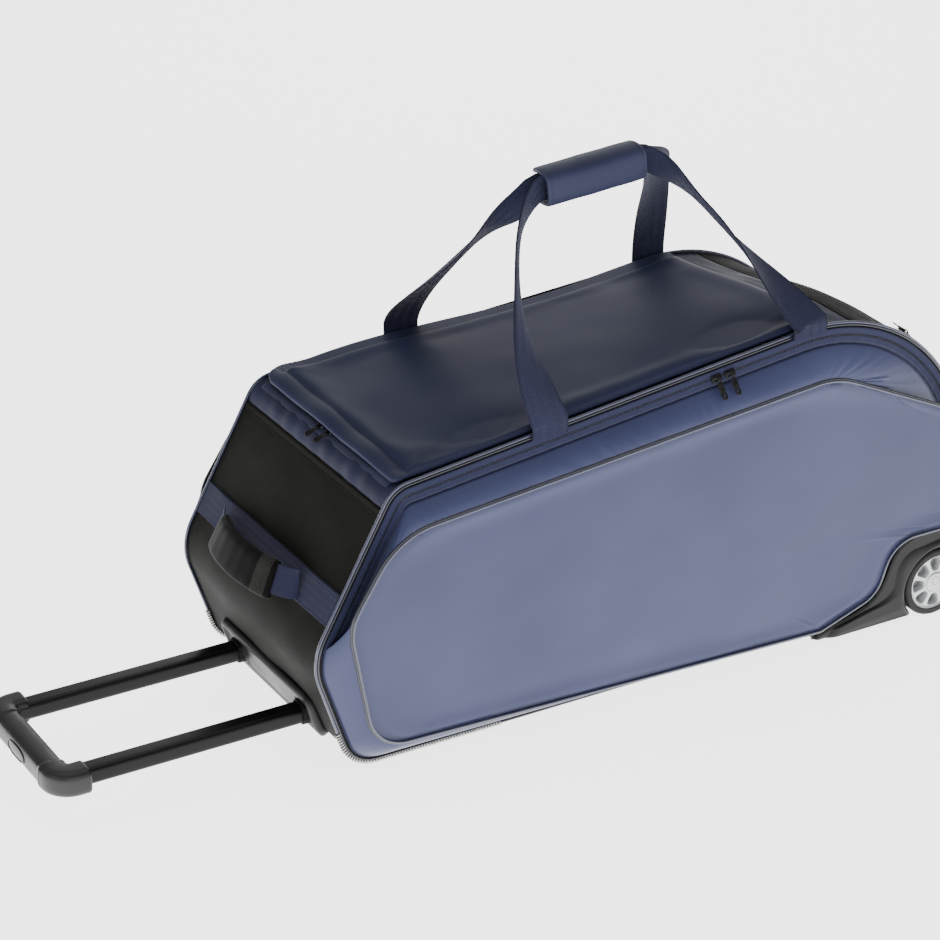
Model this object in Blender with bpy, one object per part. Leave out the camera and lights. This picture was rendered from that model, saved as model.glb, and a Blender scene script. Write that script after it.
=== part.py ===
"""Wheeled hockey equipment bag with a telescoping pull handle, a zipped lid and two side pockets.

Metres, +Z up. +X runs from the pull handle to the wheels, and the bag is the same on both sides of Y = 0.
The origin is under the middle of the whole object with the pull handle drawn out.
"""

from math import atan2, cos, hypot, pi, radians, sin, tan

import bmesh
import bpy
from mathutils import Vector

# ---------------------------------------------------------------- driving dimensions

GAP = 0.0003  # between pieces that touch
BASE_HEIGHT = 0.024  # underside of the bag above the floor
BODY_LENGTH = 0.852  # base corner at the handle end to the tail's corner
BODY_HEIGHT = 0.412  # base to the crown's corner
BODY_WIDTH = 0.330  # over the side walls
FABRIC = 0.003  # laminated fabric and its foam
BOARD = 0.005  # stiffened bottom

# Side profile, clockwise from the bottom corner at the handle end: x, z above the base, corner radius.
CORNER_FRONT_BASE = (-0.020, 0.000, 0.040)
CORNER_NOSE = (-0.066, 0.140, 0.070)
CORNER_SHOULDER = (0.036, BODY_HEIGHT - 0.087, 0.035)
CORNER_CROWN = (BODY_LENGTH - 0.119, BODY_HEIGHT, 0.220)
CORNER_TAIL = (BODY_LENGTH, 0.110, 0.060)
CORNER_TAIL_BASE = (BODY_LENGTH - 0.030, 0.000, 0.014)
ARC_STEP = radians(14)

FRONT_SEAM_DROP = 0.024  # black end panel stops this far below the shoulder
LID_START = 0.016  # along the top from the shoulder's end
LID_TO_TAIL = 0.307  # body's length beyond the lid
LID_THICKNESS = 0.012
LID_SIDE_MARGIN = 0.015  # from the body's side to the lid's edge
LID_OPENING_RIM = 0.014  # the lid overlaps the opening's rim by this much
REAR_PANEL_GAP = 0.050  # navy header behind the lid, up to the black end

WALL = 0.003  # side wall
PIPING_RADIUS = 0.0022
COIL_RADIUS = 0.0032
PIPING_LIFT = 0.0005  # off the fabric's edge
PIPING_INSET = 0.0015  # from the side wall's face to the piping's middle
ZIP_TAPE_START = 0.005
ZIP_TAPE_WIDTH = 0.013
ZIP_TAPE_THICKNESS = 0.0010
POCKET_DEPTH = 0.022
POCKET_WALL = 0.0025
POCKET_EDGE = 0.020  # the front panel's edge inside the pocket's rim
POCKET_SPLIT_HEIGHT = 0.150  # fold line of the pocket flap, above the base
POCKET_SPLIT_GAP = 0.001
POCKET_RING_POINTS = 72
POCKET_RIM_INSET = ZIP_TAPE_START + ZIP_TAPE_WIDTH + 0.0025

TUBE_SPACING = 0.161  # centre to centre
TUBE_WIDTH = 0.024
TUBE_HEIGHT = 0.020
TUBE_WALL = 0.0015
TUBE_ROUND = 0.005
TUBE_AXIS_HEIGHT = 0.031  # above the base
GUIDE_WALL = 0.0015
SLIDE_CLEARANCE = 0.0006
HANDLE_REACH = 0.304  # grip sleeves in front of the base corner, drawn out
HANDLE_TRAVEL = 0.248
TUBE_OVERLAP = 0.130  # tube left inside the guides when drawn out
GRIP_WIDTH = 0.206
GRIP_DEPTH = 0.034
GRIP_HEIGHT = 0.031
GRIP_SLEEVE = 0.026
GRIP_ARM_WIDTH = 0.034
GRIP_BEVEL = 0.0075
BUTTON_WIDTH = 0.040
BUTTON_HEIGHT = 0.013
BUTTON_DEPTH = 0.010
BUTTON_TRAVEL = 0.004
BUTTON_PROUD = 0.001
GRIP_CORNER = 0.018  # cut off the grip's outer corners
GRIP_INNER_CORNER = (0.006, 0.010)  # cut off its inner corners, along X and Y
PIN_RADIUS = 0.003
PIN_TRAVEL = 0.002
PIN_LENGTH = 0.0055
ROD_SIZE = 0.006
PUSH_BAR_DEPTH = 0.005
BEZEL_WIDTH = 0.226
BEZEL_HEIGHT = 0.066
BEZEL_PROUD = 0.010
BEZEL_BOTTOM = 0.004
GUIDE_LENGTH = 0.420
WAY_X = (-0.12, 0.02)  # reach of the tools that open the tubes' ways
PIN_FROM_END = 0.030  # lock pins from the tubes' inner ends

WHEEL_RADIUS = 0.0445
RIM_RADIUS = 0.0375
WHEEL_WIDTH = 0.030
WHEEL_TO_TAIL = 0.075
WHEEL_X = BODY_LENGTH - WHEEL_TO_TAIL
WHEEL_Z = WHEEL_RADIUS - BASE_HEIGHT
WHEEL_CLEARANCE = 0.0045
HUB_WINDOWS = 8
HUB_WINDOW_RADIUS = 0.0062
HUB_WINDOW_CIRCLE = 0.0235
HUB_BOSS_RADIUS = 0.0130
HUB_WEB = 0.010
AXLE_RADIUS = 0.0040
BEARING_RADIUS = 0.0080
RUNNING_CLEARANCE = 0.00008
HOUSING_OUT = 0.0145  # housing's outer face beyond the side wall
HOUSING_INNER = 0.098  # housing's inner face from the middle
HOUSING_DROP = 0.012  # below the base
HOUSING_TOP = WHEEL_Z + WHEEL_RADIUS + 0.0305
HOUSING_TAIL_X = WHEEL_X - 0.179  # the skid's thin end

SKID_RISE = (0.005, -0.002, 0.004)  # skid's tip: x from its end, z, radius
ARCH_FOOT = (0.087, 0.022, 0.055)  # x in front of the axle, z, radius
ARCH_SHOULDER = (0.061, 0.045)  # x in front of the axle, radius
HOUSING_BACK = (0.0015, 0.010)  # beyond the tail corner, radius
HOUSING_HEEL = (0.010, 0.008)  # beyond the tail's base corner, radius
HOUSING_BEVEL = 0.004

FOOT_LENGTH = 0.060
FOOT_HALF = 0.090
FOOT_X = 0.035

END_WEBBING = 0.040
WEBBING_THICKNESS = 0.0022
END_WEBBING_START = 0.040  # along the upper end face from the nose
GRAB_HALF_SPAN = 0.092
GRAB_PAD_HALF = 0.066
GRAB_REACH = 0.030
GRAB_LIFT = 0.0062  # sewn ends' middle above the webbing
GRAB_PAD_HEIGHT = 0.034
GRAB_PAD_THICKNESS = 0.013
GRAB_WEBBING = END_WEBBING - 0.008
GRAB_DIRECTION = (0.92, 0.39)  # outwards from the panel, and down
GRAB_BOW = 0.6  # power of the bow's rounded shape
GRAB_STEPS = 20

STRAP_WIDTH = 0.048
STRAP_THICKNESS = 0.0024
STRAP_FRONT_X = 0.229
STRAP_REAR_TO_TAIL = 0.277
STRAP_REAR_X = BODY_LENGTH - STRAP_REAR_TO_TAIL
STRAP_OUT = 0.0041  # strap's middle outside of the side wall
STRAP_FOOT_DROP = 0.004  # foot's end below the piping's seam
STRAP_FOOT = 0.016  # upright length before a leg bends inwards
WRAP_LENGTH = 0.145
WRAP_X0 = (STRAP_FRONT_X + STRAP_REAR_X) / 2 - 0.092
WRAP_X1 = WRAP_X0 + WRAP_LENGTH
WRAP_Z = BODY_HEIGHT + 0.151
WRAP_SLOPE = 0.075
WRAP_SLACK = 0.004  # straps stand this much past the wrap, half at each edge
WRAP_HEIGHT = STRAP_WIDTH - WRAP_SLACK
WRAP_THICKNESS = 0.030
WRAP_WALL = 0.004
WRAP_CHAMFER = 0.008
WRAP_END_GAP = 0.004  # from the wrap's end to where a leg begins
STRAP_RISE = 0.090  # a leg's first bend point above its foot
STRAP_LEANS = (-0.055, 0.075)  # second bend points from the wrap, front and rear
STRAP_STEPS = 11
STRAP_PAIR_GAP = 0.0045  # strap's middle from Y = 0 inside the wrap

SLIDER_LENGTH = 0.011
SLIDER_WIDTH = 0.008
SLIDER_HEIGHT = 0.0045
END_SLIDER_LIFT = 0.0020  # clears the corners of the curved end's facets
PULL_LENGTH = 0.026
PULL_WIDTH = 0.007
PULL_THICKNESS = 0.0022
PULL_TAIL = 0.0008  # end beyond its pivot
PULL_LEAN = 32  # side pulls lie on the pocket's slope
SIDE_SLIDER_SPACING = 0.018
SIDE_SLIDER_TO_TAIL = 0.406
LID_SLIDER_Y = (0.012, -0.008)
LID_TAPE = (0.0125, 0.0015)  # from its lower and upper edge to the lid
LID_TAPE_MARGIN = 0.01
LID_SLIDER_INSET = 0.0045  # from the tape's lower edge
END_ZIP_DROP = 0.080  # below the rear seam, along the profile
END_ZIP_LENGTH = 0.150
END_ZIP_INSET = 0.016
END_ZIP_HALF = 0.006
END_SLIDER_START = 0.012  # slider from the zip's upper end

POCKET_RIM_FOOT = (0.0125, 0.009, 0.040)  # rim: height of its foot, gap over the housing, base radius
POCKET_FRONT_FOOT = (0.023, 0.020, 0.045)  # the same for the front panel
POCKET_ARCH_TOP = (0.071, 0.045)  # x in front of the axle, radius
POCKET_ARCH_FOOT = (0.093, 0.030, 0.040)  # x in front of the axle, z, radius
POCKET_TAIL_RADIUS = 0.012
POCKET_HEEL = (0.006, 0.020)  # from the skid's end, radius

# ---------------------------------------------------------------- materials

MATERIALS = {
    "navy_coated": ((0.075, 0.090, 0.190), 0.45, 0.0),
    "navy_pocket": ((0.165, 0.190, 0.330), 0.42, 0.0),
    "navy_webbing": ((0.050, 0.060, 0.165), 0.80, 0.0),
    "black_fabric": ((0.040, 0.041, 0.038), 0.70, 0.0),
    "black_plastic": ((0.045, 0.046, 0.045), 0.45, 0.0),
    "black_tube": ((0.020, 0.020, 0.021), 0.30, 0.6),
    "piping_white": ((0.600, 0.620, 0.700), 0.40, 0.0),
    "zip_metal": ((0.030, 0.030, 0.030), 0.30, 0.8),
    "steel": ((0.550, 0.550, 0.560), 0.30, 1.0),
    "tyre_rubber": ((0.050, 0.050, 0.050), 0.80, 0.0),
    "hub_silver": ((0.700, 0.710, 0.720), 0.35, 0.6),
}


def material(name):
    """The Principled material of that name, made once."""
    found = bpy.data.materials.get(name)
    if found:
        return found
    colour, roughness, metallic = MATERIALS[name]
    made = bpy.data.materials.new(name)
    made.use_nodes = True
    shader = made.node_tree.nodes["Principled BSDF"]
    shader.inputs["Base Color"].default_value = (*colour, 1.0)
    shader.inputs["Roughness"].default_value = roughness
    shader.inputs["Metallic"].default_value = metallic
    made.diffuse_color = (*colour, 1.0)
    return made


# ---------------------------------------------------------------- outlines made of lines and arcs


def rounded_outline(corners, step=ARC_STEP):
    """Points (x, z, outward nx, nz) of a closed clockwise polygon whose corners are arcs."""
    points = []
    count = len(corners)
    for i, (x, z, radius) in enumerate(corners):
        before, after = corners[i - 1], corners[(i + 1) % count]
        into = Vector((x - before[0], z - before[1])).normalized()
        out = Vector((after[0] - x, after[1] - z)).normalized()
        turn = atan2(into.x * out.y - into.y * out.x, into.dot(out))
        if radius <= 0 or abs(turn) < 1e-6:
            normal = (Vector((-into.y, into.x)) + Vector((-out.y, out.x))).normalized()
            points.append((x, z, normal.x, normal.y))
            continue
        side = 1 if turn > 0 else -1
        start = Vector((x, z)) - into * radius * tan(abs(turn) / 2)
        centre = start + Vector((-into.y, into.x)) * radius * side
        steps = max(2, round(abs(turn) / step))
        for k in range(steps + 1):
            angle = turn * k / steps
            normal = Vector((-into.y, into.x))
            normal = Vector(
                (
                    normal.x * cos(angle) - normal.y * sin(angle),
                    normal.x * sin(angle) + normal.y * cos(angle),
                )
            )
            place = centre - normal * radius * side
            points.append((place.x, place.y, normal.x, normal.y))
    return points


class Profile:
    """The bag's side profile as a distance along it, so that seams can be placed on it."""

    def __init__(self, corners):
        self.points = rounded_outline(corners)
        self.stations = [0.0]
        for a, b in zip(self.points, self.points[1:] + self.points[:1]):
            self.stations.append(self.stations[-1] + hypot(b[0] - a[0], b[1] - a[1]))
        self.length = self.stations[-1]
        self.starts = []
        for i, (x, z, _) in enumerate(corners):
            near = min(
                range(len(self.points)),
                key=lambda n: hypot(self.points[n][0] - x, self.points[n][1] - z),
            )
            self.starts.append(self.stations[near])

    def at(self, s, lift=0.0):
        """(x, z) at the distance s along the profile, lifted outwards."""
        s = s % self.length
        last = len(self.points) - 1
        i = next(n for n in range(last + 1) if self.stations[n + 1] >= s or n == last)
        a, b = self.points[i], self.points[(i + 1) % len(self.points)]
        span = self.stations[i + 1] - self.stations[i]
        t = (s - self.stations[i]) / span if span else 0.0
        nx, nz = a[2] + (b[2] - a[2]) * t, a[3] + (b[3] - a[3]) * t
        size = hypot(nx, nz)
        return (
            a[0] + (b[0] - a[0]) * t + nx / size * lift,
            a[1] + (b[1] - a[1]) * t + nz / size * lift,
        )

    def direction(self, s):
        """Unit (x, z) along the profile at s."""
        a, b = self.at(s - 1e-4), self.at(s + 1e-4)
        size = hypot(b[0] - a[0], b[1] - a[1])
        return (b[0] - a[0]) / size, (b[1] - a[1]) / size

    def stretch(self, s0, s1):
        """Stations from s0 to s1 with every outline point between them."""
        inner = [
            s + turn
            for turn in (0.0, self.length)
            for s in self.stations[:-1]
            if s0 + 1e-5 < s + turn < s1 - 1e-5
        ]
        return [s0, *sorted(inner), s1]

    def where(self, s0, s1, wanted):
        """The first station between s0 and s1 whose (x, z) passes wanted(x, z)."""
        steps = 2000
        for k in range(steps + 1):
            s = s0 + (s1 - s0) * k / steps
            if wanted(*self.at(s)):
                return s
        return s1


PROFILE = Profile(
    [
        CORNER_FRONT_BASE,
        CORNER_NOSE,
        CORNER_SHOULDER,
        CORNER_CROWN,
        CORNER_TAIL,
        CORNER_TAIL_BASE,
    ]
)
S_FRONT, S_NOSE, S_SHOULDER, S_CROWN, S_TAIL, S_TAIL_BASE = PROFILE.starts
S_BOTTOM_FRONT = PROFILE.where(
    S_TAIL_BASE, PROFILE.length + S_FRONT, lambda x, z: x < 0.03
)
S_BOTTOM_REAR = PROFILE.where(S_TAIL, PROFILE.length, lambda x, z: z < 0.0005)
S_FRONT_SEAM = S_SHOULDER - FRONT_SEAM_DROP
S_LID0 = S_SHOULDER + LID_START
S_LID1 = S_LID0 + BODY_LENGTH - LID_TO_TAIL
S_REAR_SEAM = S_LID1 + REAR_PANEL_GAP

HALF = BODY_WIDTH / 2
BAND_HALF = HALF - WALL - GAP
STRIP_HALF = HALF - PIPING_INSET - PIPING_RADIUS - 2 * GAP
LID_HALF = HALF - LID_SIDE_MARGIN
POCKET_OUT = HALF + POCKET_DEPTH
HOUSING_Y = HALF + HOUSING_OUT
WHEEL_Y = HOUSING_Y - 0.002 - WHEEL_WIDTH / 2
GRIP_FACE_X = -HANDLE_REACH - GRIP_SLEEVE - GRIP_DEPTH + 0.012
TAIL_X = max(p[0] for p in PROFILE.points)
BAG_X = -(GRIP_FACE_X - BUTTON_PROUD + TAIL_X + 2 * PIPING_RADIUS + PIPING_LIFT) / 2

# ---------------------------------------------------------------- scene and mesh helpers

for old in list(bpy.data.objects):
    bpy.data.objects.remove(old, do_unlink=True)

bag = bpy.data.objects.new("bag_frame", None)
bag.location = (BAG_X, 0.0, BASE_HEIGHT)
bpy.context.scene.collection.objects.link(bag)


def add(name, bm, material_name, origin=(0.0, 0.0, 0.0), smooth=None):
    """An object of this mesh, given in bag coordinates, with its own origin at origin."""
    bmesh.ops.translate(bm, verts=bm.verts, vec=-Vector(origin))
    mesh = bpy.data.meshes.new(name)
    bm.to_mesh(mesh)
    bm.free()
    if smooth is not None:
        mesh.shade_smooth()
        mesh.set_sharp_from_angle(angle=radians(smooth))
    made = bpy.data.objects.new(name, mesh)
    made.location = origin
    made.parent = bag
    if material_name:
        mesh.materials.append(material(material_name))
    bpy.context.scene.collection.objects.link(made)
    return made


def cutter(name, bm):
    """A hidden object that only cuts others."""
    made = add(name, bm, None)
    made.hide_render = True
    made.display_type = "WIRE"
    return made


def cut(target, tool):
    """Cuts the tool out of the target."""
    modifier = target.modifiers.new("cut_" + tool.name, "BOOLEAN")
    modifier.operation = "DIFFERENCE"
    modifier.object = tool
    modifier.solver = "EXACT"


def bevel(target, width, segments=2, angle=40):
    modifier = target.modifiers.new("bevel", "BEVEL")
    modifier.width = width
    modifier.segments = segments
    modifier.limit_method = "ANGLE"
    modifier.angle_limit = radians(angle)


def prism(points, y0, y1, bm=None):
    """A closed solid: the polygon points (x, z) swept from y0 to y1."""
    bm = bm or bmesh.new()
    low = [bm.verts.new((x, y0, z)) for x, z in points]
    high = [bm.verts.new((x, y1, z)) for x, z in points]
    made = [bm.faces.new(low), bm.faces.new(high[::-1])]
    for i in range(len(points)):
        j = (i + 1) % len(points)
        made.append(bm.faces.new((low[j], low[i], high[i], high[j])))
    bmesh.ops.recalc_face_normals(bm, faces=made)
    return bm


def box(low, high, bm=None):
    """A closed box between two corners."""
    corners = [(low[0], low[2]), (high[0], low[2]), (high[0], high[2]), (low[0], high[2])]
    return prism(corners, low[1], high[1], bm)


def rounded_ring(y, z, width, height, radius):
    """(y, z) points round a rectangle with rounded corners."""
    ring = []
    for cy, cz, start in ((1, 1, 0), (-1, 1, 90), (-1, -1, 180), (1, -1, 270)):
        for k in range(3):
            angle = radians(start + 45 * k)
            ring.append(
                (
                    y + cy * (width / 2 - radius) + radius * cos(angle),
                    z + cz * (height / 2 - radius) + radius * sin(angle),
                )
            )
    return ring


def rounded_bar(start, size, radius, bm=None):
    """A solid bar along X from start, sized (length, width, height), with rounded edges."""
    bm = bm or bmesh.new()
    ring = rounded_ring(start[1], start[2], size[1], size[2], radius)
    low = [bm.verts.new((start[0], y, z)) for y, z in ring]
    high = [bm.verts.new((start[0] + size[0], y, z)) for y, z in ring]
    made = [bm.faces.new(low), bm.faces.new(high[::-1])]
    for i in range(len(ring)):
        j = (i + 1) % len(ring)
        made.append(bm.faces.new((low[j], low[i], high[i], high[j])))
    bmesh.ops.recalc_face_normals(bm, faces=made)
    return bm


def band_points(s0, s1, low, high):
    """Cross-section of a strip that follows the profile between two lifts."""
    stations = PROFILE.stretch(s0, s1)
    outer = [PROFILE.at(s, high) for s in stations]
    inner = [PROFILE.at(s, low) for s in stations]
    return outer + inner[::-1]


def turned(profile, y0, centre, segments, bm=None):
    """A solid turned about a line along Y through centre (x, z): profile holds (radius, y) pairs, closed."""
    bm = bm or bmesh.new()
    rings = []
    for radius, y in profile:
        rings.append(
            [
                bm.verts.new(
                    (
                        centre[0] + radius * cos(2 * pi * k / segments),
                        y0 + y,
                        centre[1] + radius * sin(2 * pi * k / segments),
                    )
                )
                for k in range(segments)
            ]
        )
    made = []
    for i, ring in enumerate(rings):
        nxt = rings[(i + 1) % len(rings)]
        for k in range(segments):
            j = (k + 1) % segments
            made.append(bm.faces.new((ring[k], ring[j], nxt[j], nxt[k])))
    bmesh.ops.recalc_face_normals(bm, faces=made)
    return bm


def disc(radius, y0, y1, centre, segments, bm=None):
    """A closed cylinder along Y."""
    points = [
        (
            centre[0] + radius * cos(2 * pi * k / segments),
            centre[1] + radius * sin(2 * pi * k / segments),
        )
        for k in range(segments)
    ]
    return prism(points, y0, y1, bm)


def tube_path(name, points, radius, material_name, resolution=1):
    """A round cord through points, as a curve with filled ends."""
    curve = bpy.data.curves.new(name, "CURVE")
    curve.dimensions = "3D"
    curve.bevel_depth = radius
    curve.bevel_resolution = resolution
    curve.use_fill_caps = True
    spline = curve.splines.new("POLY")
    spline.points.add(len(points) - 1)
    for place, point in zip(spline.points, points):
        place.co = (*point, 1.0)
    curve.materials.append(material(material_name))
    made = bpy.data.objects.new(name, curve)
    made.parent = bag
    bpy.context.scene.collection.objects.link(made)
    return made


def ribbon(centres, across, width, thickness, bm=None):
    """A flat strap: a rectangle carried along centres, with across as its width direction at each."""
    bm = bm or bmesh.new()
    rings = []
    for i, centre in enumerate(centres):
        ahead = centres[min(i + 1, len(centres) - 1)] - centres[max(i - 1, 0)]
        wide = across[i] - ahead * (across[i].dot(ahead) / ahead.length_squared)
        wide.normalize()
        thick = ahead.normalized().cross(wide)
        rings.append(
            [
                bm.verts.new(centre + wide * (u * width / 2) + thick * (v * thickness / 2))
                for u, v in ((-1, -1), (1, -1), (1, 1), (-1, 1))
            ]
        )
    made = [bm.faces.new(rings[0]), bm.faces.new(rings[-1][::-1])]
    for a, b in zip(rings, rings[1:]):
        for k in range(4):
            j = (k + 1) % 4
            made.append(bm.faces.new((a[k], b[k], b[j], a[j])))
    bmesh.ops.recalc_face_normals(bm, faces=made)
    return bm


SIDES = (("near", -1), ("far", 1))

# ---------------------------------------------------------------- wheel housings and the bays they fill


def housing_outline(grow):
    """Side outline of a wheel housing, grown all round."""
    corners = [
        (HOUSING_TAIL_X, -HOUSING_DROP, 0.0),
        (HOUSING_TAIL_X + SKID_RISE[0], SKID_RISE[1], SKID_RISE[2]),
        (WHEEL_X - ARCH_FOOT[0], ARCH_FOOT[1], ARCH_FOOT[2]),
        (WHEEL_X - ARCH_SHOULDER[0], HOUSING_TOP, ARCH_SHOULDER[1]),
        (CORNER_TAIL[0] + HOUSING_BACK[0], HOUSING_TOP, HOUSING_BACK[1]),
        (CORNER_TAIL_BASE[0] + HOUSING_HEEL[0], -HOUSING_DROP, HOUSING_HEEL[1]),
    ]
    return [(x + nx * grow, z + nz * grow) for x, z, nx, nz in rounded_outline(corners)]


def wheel_housing(name, side):
    """Moulded corner that guards and carries a wheel."""
    inner, outer = HOUSING_INNER * side, HOUSING_Y * side
    made = add(name, prism(housing_outline(0), inner, outer), "black_plastic", smooth=35)
    bevel(made, HOUSING_BEVEL, 2, 50)
    cavity = WHEEL_RADIUS + WHEEL_CLEARANCE
    inside = (WHEEL_Y - WHEEL_WIDTH / 2 - 0.003) * side
    well = disc(cavity, inside, (HOUSING_Y + 0.02) * side, (WHEEL_X, WHEEL_Z), 40)
    cut(made, cutter(name + "_well", well))
    bore = disc(AXLE_RADIUS + GAP, 0.09 * side, 0.2 * side, (WHEEL_X, WHEEL_Z), 16)
    cut(made, cutter(name + "_bore", bore))


def wheel(side_name, side):
    """Tyre, hub, bearings and axle, turned about the axle."""
    centre = (WHEEL_X, WHEEL_Z)
    origin = (WHEEL_X, WHEEL_Y * side, WHEEL_Z)
    half = WHEEL_WIDTH / 2
    tread = [
        (RIM_RADIUS, -half + 0.003),
        (WHEEL_RADIUS - 0.004, -half),
        (WHEEL_RADIUS, -half + 0.006),
        (WHEEL_RADIUS, half - 0.006),
        (WHEEL_RADIUS - 0.004, half),
        (RIM_RADIUS, half - 0.003),
    ]
    bm = turned(tread, WHEEL_Y * side, centre, 40)
    add(side_name + "_tyre", bm, "tyre_rubber", origin, smooth=35)

    rim = RIM_RADIUS - GAP
    bore = BEARING_RADIUS + GAP
    web = HUB_WEB / 2
    out = side
    section = [
        (bore, -web - 0.004),
        (HUB_BOSS_RADIUS, -web - 0.004),
        (HUB_BOSS_RADIUS, -web),
        (rim - 0.004, -web),
        (rim - 0.004, -half + 0.002),
        (rim, -half + 0.002),
        (rim, half - 0.001),
        (rim - 0.004, half - 0.001),
        (rim - 0.006, web),
        (HUB_BOSS_RADIUS, web),
        (HUB_BOSS_RADIUS - 0.001, web + 0.005),
        (bore, web + 0.005),
    ]
    section = [(radius, y * out) for radius, y in section]
    bm = turned(section, WHEEL_Y * side, centre, 40)
    hub = add(side_name + "_hub", bm, "hub_silver", origin, smooth=35)
    windows = bmesh.new()
    for k in range(HUB_WINDOWS):
        angle = 2 * pi * (k + 0.5) / HUB_WINDOWS
        spot = (
            WHEEL_X + HUB_WINDOW_CIRCLE * cos(angle),
            WHEEL_Z + HUB_WINDOW_CIRCLE * sin(angle),
        )
        disc(HUB_WINDOW_RADIUS, (WHEEL_Y - 0.03) * side, (WHEEL_Y + 0.03) * side, spot, 10, windows)
    cut(hub, cutter(side_name + "_windows", windows))

    ring = [
        (AXLE_RADIUS + RUNNING_CLEARANCE, -web - 0.004),
        (BEARING_RADIUS, -web - 0.004),
        (BEARING_RADIUS, web + 0.004),
        (AXLE_RADIUS + RUNNING_CLEARANCE, web + 0.004),
    ]
    bm = turned(ring, WHEEL_Y * side, centre, 24)
    add(side_name + "_wheel_bearing", bm, "steel", origin, smooth=35)

    inside = (HOUSING_INNER + 0.012) * side
    axle = disc(AXLE_RADIUS, inside, (WHEEL_Y + web + 0.004) * side, centre, 24)
    add(side_name + "_axle", axle, "steel", smooth=35)


for side_name, side in SIDES:
    wheel_housing(side_name + "_wheel_housing", side)
    wheel(side_name, side)

bays = bmesh.new()
for _, side in SIDES:
    prism(housing_outline(0.0005), (HOUSING_INNER - 0.0005) * side, 0.25 * side, bays)
bay_cutter = cutter("wheel_bays", bays)

# ---------------------------------------------------------------- pull handle

TUBE_Z = TUBE_AXIS_HEIGHT
GUIDE_IN_W = TUBE_WIDTH + 2 * SLIDE_CLEARANCE
GUIDE_IN_H = TUBE_HEIGHT + 2 * SLIDE_CLEARANCE
GUIDE_W = GUIDE_IN_W + 2 * GUIDE_WALL
GUIDE_H = GUIDE_IN_H + 2 * GUIDE_WALL
GUIDE_ROUND = TUBE_ROUND + SLIDE_CLEARANCE + GUIDE_WALL
S_BEZEL0 = PROFILE.where(S_FRONT - 0.06, S_NOSE, lambda x, z: x < 0 and z > BEZEL_BOTTOM)
S_BEZEL1 = PROFILE.where(S_FRONT, S_SHOULDER, lambda x, z: z > BEZEL_HEIGHT)
GUIDE_X0 = PROFILE.at(S_BEZEL1, 0)[0] - 0.002
TUBE_X0 = -HANDLE_REACH - 0.012
TUBE_LENGTH = -TUBE_X0 + GUIDE_X0 + TUBE_OVERLAP


def hollow_bar(side, x0, length, width, height, wall, radius):
    """A rounded tube along X on one side, with open ends."""
    bm = bmesh.new()
    y = side * TUBE_SPACING / 2
    loops = []
    for inset in (0.0, wall):
        w, h, r = width - 2 * inset, height - 2 * inset, max(radius - inset, 0.0005)
        ring = rounded_ring(y, TUBE_Z, w, h, r)
        for x in (x0, x0 + length):
            loops.append([bm.verts.new((x, a, b)) for a, b in ring])
    outer0, outer1, inner0, inner1 = loops
    for i in range(len(outer0)):
        j = (i + 1) % len(outer0)
        bm.faces.new((outer0[i], outer0[j], outer1[j], outer1[i]))
        bm.faces.new((inner0[j], inner0[i], inner1[i], inner1[j]))
        bm.faces.new((outer0[j], outer0[i], inner0[i], inner0[j]))
        bm.faces.new((outer1[i], outer1[j], inner1[j], inner1[i]))
    bmesh.ops.recalc_face_normals(bm, faces=bm.faces)
    return bm


for side_name, side in SIDES:
    guide = hollow_bar(
        side, GUIDE_X0, GUIDE_LENGTH, GUIDE_W, GUIDE_H, GUIDE_WALL, GUIDE_ROUND
    )
    add(side_name + "_guide_tube", guide, "steel", smooth=50)
    tube = hollow_bar(
        side, TUBE_X0, TUBE_LENGTH, TUBE_WIDTH, TUBE_HEIGHT, TUBE_WALL, TUBE_ROUND
    )
    add(side_name + "_handle_tube", tube, "black_tube", smooth=50)


def tube_holes(name, width, height, radius, x0, x1):
    """A cutter for both tubes' ways."""
    bm = bmesh.new()
    for _, side in SIDES:
        start = (x0, side * TUBE_SPACING / 2, TUBE_Z)
        rounded_bar(start, (x1 - x0, width, height), radius, bm)
    return cutter(name, bm)


guide_way = tube_holes(
    "guide_way", GUIDE_W + 2 * GAP, GUIDE_H + 2 * GAP, GUIDE_ROUND + GAP, *WAY_X
)
tube_way = tube_holes(
    "tube_way", GUIDE_IN_W, GUIDE_IN_H, TUBE_ROUND + SLIDE_CLEARANCE, *WAY_X
)

bezel_section = band_points(S_BEZEL0, S_BEZEL1, GAP, BEZEL_PROUD)
bezel = add(
    "handle_bezel",
    prism(bezel_section, -BEZEL_WIDTH / 2, BEZEL_WIDTH / 2),
    "black_plastic",
    smooth=35,
)
bevel(bezel, 0.004, 2, 50)
cut(bezel, tube_way)
bezel_recess = tube_holes(
    "bezel_recess",
    GUIDE_W + 2 * GAP,
    GUIDE_H + 2 * GAP,
    GUIDE_ROUND + GAP,
    GUIDE_X0 - GAP,
    WAY_X[1],
)
cut(bezel, bezel_recess)

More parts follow.
